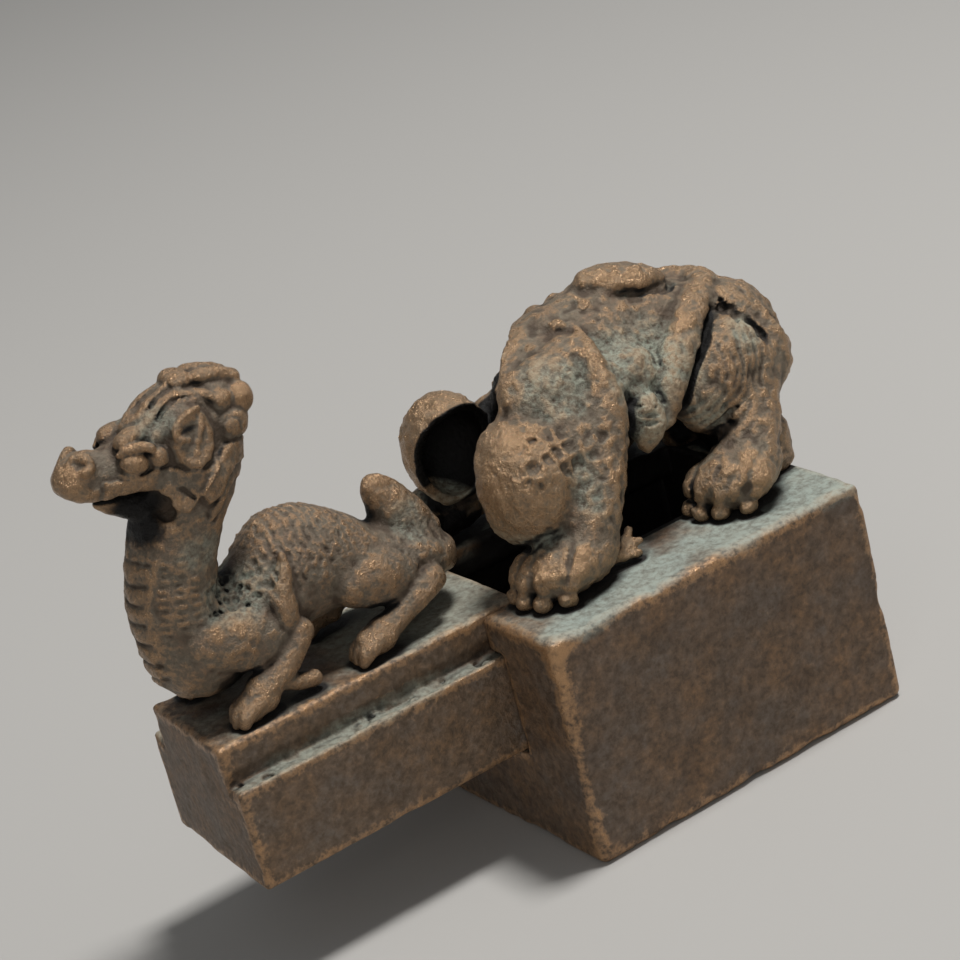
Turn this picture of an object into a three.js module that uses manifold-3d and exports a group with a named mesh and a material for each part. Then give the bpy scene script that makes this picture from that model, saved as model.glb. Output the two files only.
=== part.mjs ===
// Nested bronze seal: a square outer seal whose knob is a hollow beast, and an inner seal with
// a whole beast on it that slides into the outer one from the front, so that its head completes
// the outer beast. Millimetres, +Z up, origin at the centre of the outer seal's face. The inner
// seal is drawn out towards -X.
import * as THREE from "three";
import { mergeVertices } from "three/addons/utils/BufferGeometryUtils.js";
import Module from "manifold-3d";

const wasm = await Module();
wasm.setup();

// Outer seal block with its T-shaped slot, open at the front and in the top.
const sealSide = 23;
const sealHeight = 14.3;
const cornerRound = 0.7;
const edgeBevel = 0.4;
const slotFloor = 5.7;
const slotWidth = 12;
const tongueSlotWidth = 9.3;
const lipHeight = 2.1;
const rearWall = 2.2;

// Inner seal block, an upside-down T that fills the slot.
const slideGap = 0.15;
const endGap = 0.2;
const innerBevel = 0.25;
const frontSkew = 0.8;
const drawnOut = 17.8;

// Inner beast, heights above its platform.
const innerBackHeight = 9.6;
const innerBodyHalf = 3.15;
const innerPawHalf = 1.05;
const innerPawInset = 0.25;
const innerNeckRadius = 2.6;
const innerSkullHalf = 2.6;
const tailRadius = 1.35;

// Outer beast, a shell over a tunnel that the inner beast slides into.
const bodyGap = 0.75;
const footGap = 0.3;
const footRoom = 2.4;
const tunnelSpring = 5.8;
const tunnelEnd = 8.9;
const headRoom = 0.7;
const backCover = 3.5;
const shellWall = 0.9;
const shoulderWall = 0.6;
const neckNear = -5.7;
const neckMiddle = -2.4;
const neckFar = 0.4;
const pawHalf = 2.25;
const toeRadius = 0.72;
const toeCount = 4;
const foreLegRadius = 1.85;
const hindLegRadius = 1.65;
const bandRadius = 1.2;

const innerHalf = slotWidth / 2 - slideGap;
const tongueHalf = tongueSlotWidth / 2 - slideGap;
const innerLength = sealSide - rearWall - endGap;
const innerFootLine = tongueHalf - innerPawInset - innerPawHalf;
const tunnelHalf = innerBodyHalf + bodyGap;
const footwayHalf = tongueHalf + footGap;
const tunnelCrown = innerBackHeight + headRoom;
const outerBack = tunnelCrown + backCover;
const outerHalf = tunnelHalf + shellWall;
const outerLegLine = footwayHalf + pawHalf;

function solid(geometry) {
  const plain = new THREE.BufferGeometry();
  plain.setAttribute("position", geometry.getAttribute("position"));
  if (geometry.index) plain.setIndex(geometry.index);
  const merged = mergeVertices(plain, 1e-4);
  return new wasm.Manifold(
    new wasm.Mesh({
      numProp: 3,
      vertProperties: new Float32Array(merged.attributes.position.array),
      triVerts: new Uint32Array(merged.index.array),
    }),
  );
}

function joined(geometries) {
  return geometries.map(solid).reduce((whole, piece) => whole.add(piece));
}

function shape(points) {
  return new THREE.Shape(points.map(([a, b]) => new THREE.Vector2(a, b)));
}

// Runs a profile drawn in (y, z) along X from one end to the other.
function alongX(profile, from, to, options = {}) {
  const bevel = options.bevelThickness ?? 0;
  const run = new THREE.ExtrudeGeometry(profile, {
    depth: to - from - 2 * bevel,
    bevelEnabled: bevel > 0,
    ...options,
  });
  run.translate(0, 0, bevel);
  const turn = new THREE.Matrix4().makeBasis(
    new THREE.Vector3(0, 1, 0),
    new THREE.Vector3(0, 0, 1),
    new THREE.Vector3(1, 0, 0),
  );
  return run.applyMatrix4(turn).translate(from, 0, 0);
}

// Closes a row of rings into one skin, with a point at each end.
function loft(rings, startTip, endTip) {
  const sides = rings[0].length;
  const vertices = [startTip, ...rings.flat(), endTip];
  const last = vertices.length - 1;
  const faces = [];
  const at = (ring, side) => 1 + ring * sides + (side % sides);
  for (let side = 0; side < sides; side += 1) {
    faces.push(0, at(0, side + 1), at(0, side));
    faces.push(last, at(rings.length - 1, side), at(rings.length - 1, side + 1));
    for (let ring = 0; ring < rings.length - 1; ring += 1) {
      faces.push(at(ring, side), at(ring, side + 1), at(ring + 1, side));
      faces.push(at(ring, side + 1), at(ring + 1, side + 1), at(ring + 1, side));
    }
  }
  const skin = new THREE.BufferGeometry().setFromPoints(vertices);
  skin.setIndex(faces);
  return skin;
}

// A rounded limb through stations [x, y, z, half width, half height].
function limb(stations, sides = 10, steps = 3) {
  const path = new THREE.CatmullRomCurve3(
    stations.map(([x, y, z]) => new THREE.Vector3(x, y, z)),
  );
  const girth = new THREE.CatmullRomCurve3(
    stations.map(([, , , wide, high]) => new THREE.Vector3(wide, high ?? wide, 0)),
  );
  const count = (stations.length - 1) * steps;
  const ringAt = (t, shift, shrink) => {
    const tangent = path.getTangent(t);
    const across = new THREE.Vector3(0, 1, 0);
    across.addScaledVector(tangent, -across.dot(tangent)).normalize();
    const upward = tangent.clone().cross(across);
    const size = girth.getPoint(t);
    const reach = Math.min(size.x, size.y);
    const centre = path.getPoint(t).addScaledVector(tangent, shift * reach);
    if (shrink === 0) return centre;
    return Array.from({ length: sides }, (_, side) => {
      const angle = (2 * Math.PI * side) / sides;
      return centre
        .clone()
        .addScaledVector(across, size.x * shrink * Math.cos(angle))
        .addScaledVector(upward, size.y * shrink * Math.sin(angle));
    });
  };
  const bend = Math.PI / 4;
  const rings = [ringAt(0, -Math.sin(bend), Math.cos(bend))];
  for (let step = 0; step <= count; step += 1) rings.push(ringAt(step / count, 0, 1));
  rings.push(ringAt(1, Math.sin(bend), Math.cos(bend)));
  return loft(rings, ringAt(0, -1, 0), ringAt(1, 1, 0));
}

// A body through stations [x, half width, top, widest height, underside].
function trunk(stations, nose, tip, sides = 18, steps = 2) {
  const spine = new THREE.CatmullRomCurve3(
    stations.map(([x, wide]) => new THREE.Vector3(x, wide, 0)),
  );
  const rise = new THREE.CatmullRomCurve3(
    stations.map(([, , top, middle, low]) => new THREE.Vector3(top, middle, low)),
  );
  const count = (stations.length - 1) * steps;
  const rings = [];
  for (let step = 0; step <= count; step += 1) {
    const { x, y: wide } = spine.getPoint(step / count);
    const { x: top, y: middle, z: low } = rise.getPoint(step / count);
    rings.push(
      Array.from({ length: sides }, (_, side) => {
        const angle = (2 * Math.PI * side) / sides;
        const lift = Math.sin(angle);
        const up = lift > 0 ? lift * (top - middle) : lift * (middle - low);
        return new THREE.Vector3(x, wide * Math.cos(angle), middle + up);
      }),
    );
  }
  return loft(rings, new THREE.Vector3(...nose), new THREE.Vector3(...tip));
}

// A rounded mass, its +X end tipped down by so many degrees.
function ball([x, y, z], [rx, ry, rz], sides = 10, tip = 0) {
  return new THREE.SphereGeometry(1, sides, Math.round(0.7 * sides))
    .scale(rx, ry, rz)
    .rotateY(THREE.MathUtils.degToRad(tip))
    .translate(x, y, z);
}

// Makes a piece for the near side (-Y) and its mirror image for the far side.
function bothSides(make) {
  return [make(-1), make(1)];
}

// Toes in a row that bends back towards the outside of the paw.
function pawToes(side, line, spread, back, front) {
  return Array.from({ length: toeCount }, (_, toe) => {
    const y = side * (line + spread * ((2 * toe) / (toeCount - 1) - 1));
    const bend = 0.15 * toe * toe;
    return limb(
      [
        [back + bend, y, 1.9, toeRadius + 0.05],
        [front + bend, y, toeRadius + 0.1, toeRadius],
      ],
      8,
      2,
    );
  });
}

// Cuts away all that lies below the platform, so that the feet stand flat on it.
function standing(whole) {
  const depth = 8;
  const ground = new THREE.BoxGeometry(4 * sealSide, 4 * sealSide, depth).translate(0, 0, -depth / 2);
  return whole.subtract(solid(ground));
}

function roundedSquare(side, radius) {
  const half = side / 2;
  const reach = half - radius;
  const outline = new THREE.Shape();
  outline.moveTo(reach, -half);
  outline.absarc(reach, -reach, radius, -Math.PI / 2, 0);
  outline.absarc(reach, reach, radius, 0, Math.PI / 2);
  outline.absarc(-reach, reach, radius, Math.PI / 2, Math.PI);
  outline.absarc(-reach, -reach, radius, Math.PI, 1.5 * Math.PI);
  return outline;
}

function outerBlock() {
  const body = new THREE.ExtrudeGeometry(roundedSquare(sealSide, cornerRound), {
    depth: sealHeight - 2 * edgeBevel,
    bevelThickness: edgeBevel,
    bevelSize: edgeBevel,
    bevelOffset: -edgeBevel,
    bevelSegments: 2,
    curveSegments: 4,
  }).translate(0, 0, edgeBevel);
  const half = slotWidth / 2;
  const lip = tongueSlotWidth / 2;
  const lipFloor = sealHeight - lipHeight;
  const clear = sealHeight + 1;
  const slot = alongX(
    shape([
      [-half, slotFloor],
      [half, slotFloor],
      [half, lipFloor],
      [lip, lipFloor],
      [lip, clear],
      [-lip, clear],
      [-lip, lipFloor],
      [-half, lipFloor],
    ]),
    -sealSide,
    sealSide / 2 - rearWall,
  );
  return solid(body).subtract(solid(slot));
}

function innerBlock() {
  const floor = slotFloor + slideGap - sealHeight;
  const shoulder = -lipHeight - slideGap;
  const block = alongX(
    shape([
      [-innerHalf, floor],
      [innerHalf, floor],
      [innerHalf, shoulder],
      [tongueHalf, shoulder],
      [tongueHalf, 0],
      [-tongueHalf, 0],
      [-tongueHalf, shoulder],
      [-innerHalf, shoulder],
    ]),
    0,
    innerLength,
    { bevelThickness: innerBevel, bevelSize: innerBevel, bevelOffset: -innerBevel, bevelSegments: 2 },
  );
  const place = block.getAttribute("position");
  for (let i = 0; i < place.count; i += 1) {
    const setBack = (frontSkew * (place.getY(i) / innerHalf + 1)) / 2;
    place.setX(i, place.getX(i) + setBack * (1 - place.getX(i) / innerLength));
  }
  return solid(block);
}

// Distances along X from the inner seal's front face, heights above its platform.
function innerBeast() {
  const wide = innerBodyHalf;
  const back = innerBackHeight;
  const neck = innerNeckRadius;
  const skull = innerSkullHalf;
  const foot = innerFootLine;
  const paw = innerPawHalf;
  const body = trunk(
    [
      [1.0, wide - 1.2, 5.8, 4.0, 2.1],
      [3.0, wide - 0.3, 6.8, 4.2, 1.5],
      [5.6, wide, 7.6, 4.6, 1.9],
      [8.4, wide, back - 0.1, 5.6, 2.6],
      [11.1, wide - 0.2, back - 0.4, 5.6, 2.7],
      [13.2, wide - 0.5, back - 1.8, 5.0, 2.6],
      [14.6, wide - 0.6, back - 3.1, 4.4, 2.3],
      [17.0, wide - 0.4, back - 4.2, 3.8, 1.7],
      [18.7, wide - 1.2, back - 5.4, 3.2, 1.6],
    ],
    [0.0, 0, 4.1],
    [19.7, 0, 3.0],
  );
  const spine = [
    limb([
      [2.7, 0, 4.2, neck + 0.2, neck + 0.3],
      [2.1, 0, 6.7, neck - 0.1, neck],
      [2.8, 0, 9.0, neck, neck + 0.1],
      [3.9, 0, 11.2, neck, neck + 0.2],
      [5.3, 0, 13.8, neck, neck + 0.2],
    ]),
    limb([
      [16.3, 0, 4.6, tailRadius + 0.2],
      [16.7, 0, 6.6, tailRadius],
      [16.5, 0, 7.9, tailRadius - 0.25],
    ]),
  ];
  const face = [
    ball([5.7, 0, 16.0], [3.4, skull, 3.1], 16),
    limb([
      [3.0, 0, 15.4, skull - 0.7, 1.4],
      [0.8, 0, 15.9, skull - 1.1, 1.2],
      [-1.2, 0, 16.4, skull - 1.35, 0.95],
    ]),
    limb([
      [4.4, 0, 12.9, skull - 0.9, 0.7],
      [2.2, 0, 13.4, skull - 1.3, 0.55],
      [0.1, 0, 14.1, skull - 1.8, 0.42],
    ]),
  ];
  const features = bothSides((side) => [
    ball([-0.9, side * 0.72, 17.2], [0.8, 0.75, 0.7]),
    ball([1.8, side * (skull - 0.9), 16.4], [0.95, 0.9, 0.95]),
    ball([2.3, side * (skull - 0.9), 17.3], [1.2, 0.95, 0.7]),
    ball([3.9, side * (skull - 0.9), 14.1], [1.7, 1.1, 1.7]),
    ball([4.9, side * skull, 16.5], [1.4, 0.7, 2.2]),
    ball([8.7, side * (skull - 1.4), 16.9], [1.2, 1.2, 1.2]),
    ball([8.0, side * (skull - 0.8), 15.0], [1.2, 1.1, 1.2]),
    limb(
      [
        [5.8, side * 1.0, 18.5, 0.7],
        [8.4, side * 1.0, 18.0, 0.7],
      ],
      8,
      2,
    ),
    limb([
      [2.8, side * (wide - 1.0), 4.6, 1.35, 1.9],
      [5.0, side * (wide - 0.6), 4.0, 1.1, 1.6],
      [7.2, side * (wide - 0.5), 3.3, 0.95, 1.1],
    ]),
    limb(
      [
        [7.2, side * (wide - 0.5), 3.2, 0.95],
        [5.6, side * (foot - 0.1), 1.9, 0.85],
        [4.2, side * foot, 1.0, 0.85],
      ],
      8,
      3,
    ),
    limb(
      [
        [4.4, side * foot, 0.75, paw - 0.1, 0.85],
        [2.8, side * foot, 0.7, paw, 0.85],
      ],
      8,
      2,
    ),
    limb(
      [
        [5.0, side * foot, 0.45, 0.5],
        [7.2, side * foot, 0.45, 0.5],
      ],
      10,
      2,
    ),
    ball([14.5, side * (wide - 0.8), 4.2], [2.7, 1.1, 2.0], 12),
    limb(
      [
        [17.0, side * (wide - 0.05), 2.6, 0.9],
        [15.2, side * foot, 1.6, 0.75],
        [12.2, side * foot, 0.85, 0.75],
      ],
      8,
      3,
    ),
    limb(
      [
        [12.7, side * foot, 0.75, paw - 0.1, 0.85],
        [11.4, side * foot, 0.7, paw, 0.85],
      ],
      8,
      2,
    ),
  ]).flat();
  return standing(joined([body, ...spine, ...face, ...features]));
}

// Distances along X from the outer seal's centre, heights above its top, widths from the middle.
function outerBeast() {
  const top = outerBack;
  const wide = outerHalf;
  const line = outerLegLine;
  const spread = pawHalf - toeRadius;
  const fore = foreLegRadius;
  const hind = hindLegRadius;
  const band = bandRadius;
  const near = -1;
  const far = 1;
  const rod = (side, stations) => limb(stations.map(([x, y, ...rest]) => [x, side * y, ...rest]), 9, 2);
  const mass = (side, { at: [x, y, z], size, tip }, sides = 11) => ball([x, side * y, z], size, sides, tip);
  const body = trunk(
    [
      [-6.4, wide - 0.6, top - 1.5, 6.4, 4.2],
      [-3.4, wide - 0.5, top - 1.1, 6.6, 4.4],
      [-1.6, wide - 0.2, top - 0.6, 6.8, 4.7],
      [1.5, wide, top - 0.1, 6.8, 5.0],
      [5.0, wide + 0.1, top - 0.6, 6.7, 5.0],
      [8.5, wide + 0.4, top - 1.5, 6.5, 4.0],
      [11.0, wide + 0.4, top - 2.9, 5.6, -1.5],
      [12.2, wide - 0.5, top - 5.0, 5.2, 0.5],
    ],
    [-6.9, 0, 7.0],
    [13.1, 0, 5.6],
  );
  // The neck ends askew, so the far shoulder stands farther back than the near one.
  const neck = new THREE.ExtrudeGeometry(
    shape([
      [-sealSide, -sealSide],
      [neckNear, -sealSide],
      [neckNear, 0.7 - tunnelHalf],
      [neckMiddle, 0],
      [neckFar, tunnelHalf + 0.1],
      [neckFar, sealSide],
      [-sealSide, sealSide],
    ]),
    { depth: 2 * top, bevelEnabled: false },
  );
  const back = [
    ball([5.7, 0, top - 0.5], [3.1, 1.8, 1.0], 12, 17),
    ball([3.2, 0.2, top - 0.8], [2.2, 1.7, 0.85], 10, -8),
    limb([
      [12.0, 0, top - 5.8, 0.95],
      [12.9, -0.4, 5.4, 0.9],
      [12.1, -1.4, 2.6, 0.8],
      [10.8, -2.3, 0.9, 0.65],
    ]),
  ];
  const domes = [
    [near, { at: [-6.4, tunnelHalf + 0.3, 6.2], size: [2.9, line - tunnelHalf + 0.4, 3.8] }],
    [far, { at: [-5.8, tunnelHalf + 0.4, 6.3], size: [2.8, line - tunnelHalf + 0.15, 3.5] }],
  ];
  const shoulders = [
    ...domes.map(([side, dome]) => mass(side, dome, 16)),
    mass(near, { at: [-3.0, wide - 1.4, 9.3], size: [3.0, 2.2, 3.2], tip: 12 }),
    mass(near, { at: [-3.8, line - 1.85, 6.9], size: [2.3, 1.9, 3.0], tip: 15 }),
    mass(far, { at: [-0.4, wide - 1.4, 7.4], size: [2.2, 2.0, 2.6] }),
    rod(near, [
      [0.0, wide - 0.4, 10.2, 1.1],
      [-1.1, wide + 0.4, 8.4, fore - 0.1],
      [-3.0, line - 0.95, 5.5, fore + 0.1],
      [-4.2, line - 0.35, 3.4, fore],
      [-4.9, line - 0.15, 2.0, fore],
    ]),
    rod(far, [
      [1.6, wide - 0.4, 9.2, 0.9],
      [0.6, wide + 0.4, 7.4, fore - 0.65],
      [-2.6, line - 0.95, 5.4, fore - 0.15],
      [-4.2, line - 0.35, 3.4, fore],
      [-4.9, line - 0.15, 2.0, fore],
    ]),
  ];
  const limbs = bothSides((side) => [
    rod(side, [
      [-5.2, line, 1.6, pawHalf - 0.2, 1.6],
      [-7.4, line, 1.6, pawHalf - 0.1, 1.6],
    ]),
    ...pawToes(side, line, spread, -8.1, -9.2),
    rod(side, [
      [1.0, wide - 2.3, top - 1.1, 0.6],
      [0.6, wide - 1.3, top - 1.9, 0.85],
      [0.3, wide - 0.4, top - 3.0, 1.0],
    ]),
    rod(side, [
      [10.8, 0.7, top - 2.7, band - 0.2],
      [9.3, wide - 2.5, top - 2.8, band - 0.05],
      [7.5, wide - 1.2, top - 3.4, band + 0.05],
      [5.6, wide - 0.2, top - 4.5, band + 0.05],
      [4.2, wide + 0.3, top - 5.9, band - 0.05],
      [3.4, wide + 0.5, 6.5, band - 0.3],
    ]),
    rod(side, [
      [2.3, wide + 0.2, 8.6, 0.9],
      [1.9, wide + 0.6, 7.1, 1.3],
      [1.5, wide + 0.8, 5.9, 0.9],
    ]),
    mass(side, { at: [8.3, wide - 0.2, 7.0], size: [3.9, 2.2, 3.2], tip: -26 }, 14),
    mass(side, { at: [11.2, wide - 0.1, 6.9], size: [2.0, 1.7, 2.3], tip: 10 }),
    mass(side, { at: [10.8, wide - 2.0, 8.8], size: [2.5, 2.4, 2.6] }),
    mass(side, { at: [10.5, wide - 0.3, 1.5], size: [1.5, 1.5, 2.4] }, 10),
    rod(side, [
      [10.6, wide + 0.1, 6.9, hind - 0.15],
      [9.4, wide + 0.8, 5.3, hind],
      [8.5, line - 0.85, 3.9, hind + 0.1],
      [7.6, line - 0.35, 2.6, hind + 0.15],
    ]),
    rod(side, [
      [7.2, line - 0.1, 1.9, pawHalf - 0.2, 1.9],
      [5.6, line - 0.1, 1.6, pawHalf - 0.1, 1.7],
    ]),
    ...pawToes(side, line, spread, 5.2, 4.1),
  ]).flat();
  const arch = new THREE.Shape();
  arch.moveTo(-footwayHalf, -1);
  arch.lineTo(footwayHalf, -1);
  arch.lineTo(footwayHalf, footRoom);
  arch.lineTo(tunnelHalf, footRoom + footwayHalf - tunnelHalf);
  arch.absellipse(0, tunnelSpring, tunnelHalf, tunnelCrown - tunnelSpring, 0, Math.PI);
  arch.lineTo(-tunnelHalf, footRoom + footwayHalf - tunnelHalf);
  arch.lineTo(-footwayHalf, footRoom);
  const tunnel = alongX(arch, -sealSide, tunnelEnd, { curveSegments: 12 });
  const pockets = domes.map(([side, { at, size }]) =>
    mass(side, { at, size: size.map((radius) => radius - shoulderWall) }, 16),
  );
  const shell = solid(body).subtract(solid(neck)).add(joined([...back, ...shoulders, ...limbs]));
  return standing(shell.subtract(joined([tunnel, ...pockets])));
}

function cast(name, whole, colour) {
  const made = whole.getMesh();
  const geometry = new THREE.BufferGeometry();
  geometry.setAttribute("position", new THREE.BufferAttribute(made.vertProperties, 3));
  geometry.setIndex(new THREE.BufferAttribute(made.triVerts, 1));
  geometry.computeVertexNormals();
  const bronze = new THREE.MeshStandardMaterial({ color: colour, roughness: 0.5, metalness: 0.85 });
  const mesh = new THREE.Mesh(geometry, bronze);
  mesh.name = name;
  return mesh;
}

const nestedSeal = new THREE.Group();

const outerBlockMesh = cast("outer_seal_block", outerBlock(), "#6f5943");
nestedSeal.add(outerBlockMesh);

const outerTop = new THREE.Group();
outerTop.position.set(0, 0, sealHeight);
outerTop.add(cast("outer_beast_knob", outerBeast(), "#7d6246"));
nestedSeal.add(outerTop);

const innerSeal = new THREE.Group();
innerSeal.position.set(-sealSide / 2 - drawnOut, 0, sealHeight);
innerSeal.add(cast("inner_seal_block", innerBlock(), "#6a5643"));
innerSeal.add(cast("inner_beast_knob", innerBeast(), "#7a6047"));
nestedSeal.add(innerSeal);

export default nestedSeal;
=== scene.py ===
import math

import bpy
import numpy as np
from mathutils import Matrix, Vector


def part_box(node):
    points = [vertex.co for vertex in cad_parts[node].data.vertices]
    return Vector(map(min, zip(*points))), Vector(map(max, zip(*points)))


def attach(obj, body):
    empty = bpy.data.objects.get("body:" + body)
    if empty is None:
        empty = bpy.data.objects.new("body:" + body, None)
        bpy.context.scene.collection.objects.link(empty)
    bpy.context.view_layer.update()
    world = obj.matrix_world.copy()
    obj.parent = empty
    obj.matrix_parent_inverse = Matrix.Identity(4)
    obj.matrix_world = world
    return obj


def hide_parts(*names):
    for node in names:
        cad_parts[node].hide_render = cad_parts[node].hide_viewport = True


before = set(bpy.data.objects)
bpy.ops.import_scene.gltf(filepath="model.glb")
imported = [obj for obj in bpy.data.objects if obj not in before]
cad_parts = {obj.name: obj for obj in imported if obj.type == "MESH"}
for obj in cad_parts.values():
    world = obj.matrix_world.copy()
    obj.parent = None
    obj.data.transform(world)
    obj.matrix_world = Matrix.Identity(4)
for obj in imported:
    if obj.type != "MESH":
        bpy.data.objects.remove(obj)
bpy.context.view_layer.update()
print("frame loaded:", ", ".join(sorted(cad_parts)))

mm = 0.001
margin = 0.8                                        # empty clay left round each block, in mm
blockLow, blockHigh = (np.array(corner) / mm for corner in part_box("outer_seal_block"))
drawerLow, drawerHigh = (np.array(corner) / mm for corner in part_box("inner_seal_block"))
sealTop = blockHigh[2]                              # both beasts stand at this level
motherPlace = np.array((0, 0, sealTop))             # the outer beast is made about the middle of its block
cubPlace = np.array((drawerLow[0], 0, sealTop))     # the inner one from the front edge of its own block


# Clay: a block of space on a grid, in mm, where each point holds its distance to the bronze's skin.

def melted(a, b, blend):                            # the lower of two distances, run together over blend mm
    if blend <= 0:
        return np.minimum(a, b)
    share = np.clip(0.5 + 0.5 * (b - a) / blend, 0, 1)
    return b + (a - b) * share - blend * share * (1 - share)


def turned(degrees):                                # a rotation about X, then Y, then Z
    x, y, z = (math.radians(angle) for angle in degrees)
    return np.array(Matrix.Rotation(z, 3, "Z") @ Matrix.Rotation(y, 3, "Y") @ Matrix.Rotation(x, 3, "X"))


def smoothPath(stations, steps):                    # a curve through stations of x, y, z and radius
    knots = np.array(stations, float)
    knots = np.vstack([2 * knots[0] - knots[1], knots, 2 * knots[-1] - knots[-2]])
    path = []
    for a, b, c, d in zip(knots, knots[1:], knots[2:], knots[3:]):
        for t in np.arange(steps) / steps:
            path.append(0.5 * (2 * b + (c - a) * t + (2 * a - 5 * b + 4 * c - d) * t**2
                               + (3 * b - a - 3 * c + d) * t**3))
    path.append(knots[-2])
    return np.array(path)


class Clay:
    def __init__(self, low, high, grain):
        self.low = np.array(low, float)
        self.grain = grain
        counts = [int(math.ceil((b - a) / grain)) + 1 for a, b in zip(low, high)]
        self.axes = [start + grain * np.arange(count) for start, count in zip(self.low, counts)]
        self.field = np.full(counts, 3.0, np.float32)

    def patch(self, low, high):                     # the grid inside a box: its slices and coordinates
        spans = []
        for axis, a, b in zip(self.axes, low, high):
            start = int(np.searchsorted(axis, a))
            spans.append(slice(start, max(start, int(np.searchsorted(axis, b)))))
        x, y, z = (axis[span].astype(np.float32) for axis, span in zip(self.axes, spans))
        return tuple(spans), x[:, None, None], y[None, :, None], z[None, None, :]

    def everywhere(self):                           # the patch that is the whole grid
        return self.patch(self.low, [axis[-1] + 1 for axis in self.axes])

    def press(self, spans, distance, blend=0.0, carve=False):   # adds a shape to the clay, or carves it away
        here = self.field[spans]
        self.field[spans] = -melted(-here, distance, blend) if carve else melted(here, distance, blend)

    def egg(self, at, size, turn=(0, 0, 0), blend=0.3, both=True, carve=False):
        for side in (1, -1) if both else (1,):
            flip = np.diag((1, side, 1))
            axes = flip @ turned(turn) @ flip
            middle = np.array(at) * (1, side, 1)
            reach = np.sqrt(axes**2 @ np.array(size) ** 2) + blend + 0.3
            spans, x, y, z = self.patch(middle - reach, middle + reach)
            x, y, z = x - middle[0], y - middle[1], z - middle[2]
            local = [x * axes[0, i] + y * axes[1, i] + z * axes[2, i] for i in range(3)]
            near = np.sqrt(sum((value / radius) ** 2 for value, radius in zip(local, size)))
            far = np.sqrt(sum((value / radius**2) ** 2 for value, radius in zip(local, size)))
            self.press(spans, near * (near - 1) / np.maximum(far, 1e-6), blend, carve)

    def rod(self, stations, blend=0.3, both=True, carve=False, flat=None, steps=4):
        for side in (1, -1) if both else (1,):
            path = smoothPath(stations, steps) * (1, side, 1, 1)
            reach = path[:, 3].max() + blend + 0.3
            low, high = path[:, :3].min(0) - reach, path[:, :3].max(0) + reach
            spans = self.patch(low, high)[0]
            whole = np.full(self.field[spans].shape, 9.0, np.float32)
            for a, b in zip(path, path[1:]):        # each stretch only works on its own corner of the patch
                pair = np.array((a, b))[:, :3]
                own, sx, sy, sz = self.patch(pair.min(0) - reach, pair.max(0) + reach)
                inner = tuple(slice(o.start - s.start, o.stop - s.start) for o, s in zip(own, spans))
                along = b[:3] - a[:3]
                dx, dy, dz = sx - a[0], sy - a[1], sz - a[2]
                t = (dx * along[0] + dy * along[1] + dz * along[2]) / max(along @ along, 1e-9)
                t = np.clip(t, 0, 1)
                dx, dy, dz = dx - t * along[0], dy - t * along[1], dz - t * along[2]
                if flat is not None:                # (way, share): squeezes the rod along one direction
                    way = np.array(flat[0], float) * (1, side, 1)
                    way /= np.linalg.norm(way)
                    extra = (dx * way[0] + dy * way[1] + dz * way[2]) * (1 / flat[1] - 1)
                    dx, dy, dz = dx + extra * way[0], dy + extra * way[1], dz + extra * way[2]
                length = np.sqrt(dx * dx + dy * dy + dz * dz) - (a[3] + t * (b[3] - a[3]))
                whole[inner] = np.minimum(whole[inner], length)
            self.press(spans, whole, blend, carve)

    def barrel(self, stations):                     # a trunk along X: x, half width, top, middle, bottom
        rows = smoothPath(stations, 6)
        spans, x, y, z = self.everywhere()
        wide, top, middle, bottom = (np.interp(x, rows[:, 0], rows[:, i]) for i in range(1, 5))
        tall = np.where(z > middle, top - middle, middle - bottom)
        share = np.sqrt((y / wide) ** 2 + ((z - middle) / tall) ** 2)
        out = np.sqrt(y**2 + (z - middle) ** 2)
        distance = out * (1 - 1 / np.maximum(share, 0.05))
        ends = np.maximum(rows[0, 0] - x, x - rows[-1, 0])
        self.press(spans, np.maximum(distance, ends).astype(np.float32))

    def stand(self, sink=0.1):                      # cuts the clay off level, just under where it stands
        _, _, _, z = self.everywhere()
        self.field = np.maximum(self.field, (-sink - z).astype(np.float32))

    def slab(self, low, high, soft=0.0, blend=0.0, carve=False):
        low, high = np.array(low, float), np.array(high, float)
        spans, x, y, z = self.patch(low - 1 - blend, high + 1 + blend)
        middle, half = (low + high) / 2, (high - low) / 2 - soft
        gaps = [np.abs(value - m) - h for value, m, h in zip((x, y, z), middle, half)]
        outside = np.sqrt(sum(np.maximum(gap, 0) ** 2 for gap in gaps))
        inside = np.minimum(np.maximum(np.maximum(gaps[0], gaps[1]), gaps[2]), 0)
        self.press(spans, (outside + inside - soft).astype(np.float32), blend, carve)

    def emboss(self, relief, reach=0.45):           # relief(points) is how far each point is raised, in mm
        near = np.nonzero(np.abs(self.field) < reach)
        points = np.stack([axis[i] for axis, i in zip(self.axes, near)], 1).astype(np.float32)
        self.field[near] -= relief(points).astype(np.float32)

    def read(self, field, points):                  # a field's value between grid points, more off the grid
        asked = (points - self.low) / self.grain
        spot = np.clip(asked, 0, np.array(field.shape) - 1.001)
        base = spot.astype(int)
        part = spot - base
        value = np.linalg.norm(asked - spot, axis=1) * self.grain
        for corner in np.ndindex(2, 2, 2):
            weight = np.prod(np.where(corner, part, 1 - part), axis=1)
            value = value + weight * field[tuple((base + corner).T)]
        return value


def softened(field, radius):                        # a field averaged over a box, twice
    for axis in (0, 1, 2, 0, 1, 2):
        pad = [(radius + 1, radius) if i == axis else (0, 0) for i in range(3)]
        total = np.cumsum(np.pad(field, pad, mode="edge"), axis=axis, dtype=np.float64)
        width = 2 * radius + 1
        upper = np.take(total, range(width, total.shape[axis]), axis=axis)
        lower = np.take(total, range(0, total.shape[axis] - width), axis=axis)
        field = ((upper - lower) / width).astype(np.float32)
    return field


# Reliefs: patterns that a maker would chase or that age leaves, as heights in mm.

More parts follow.
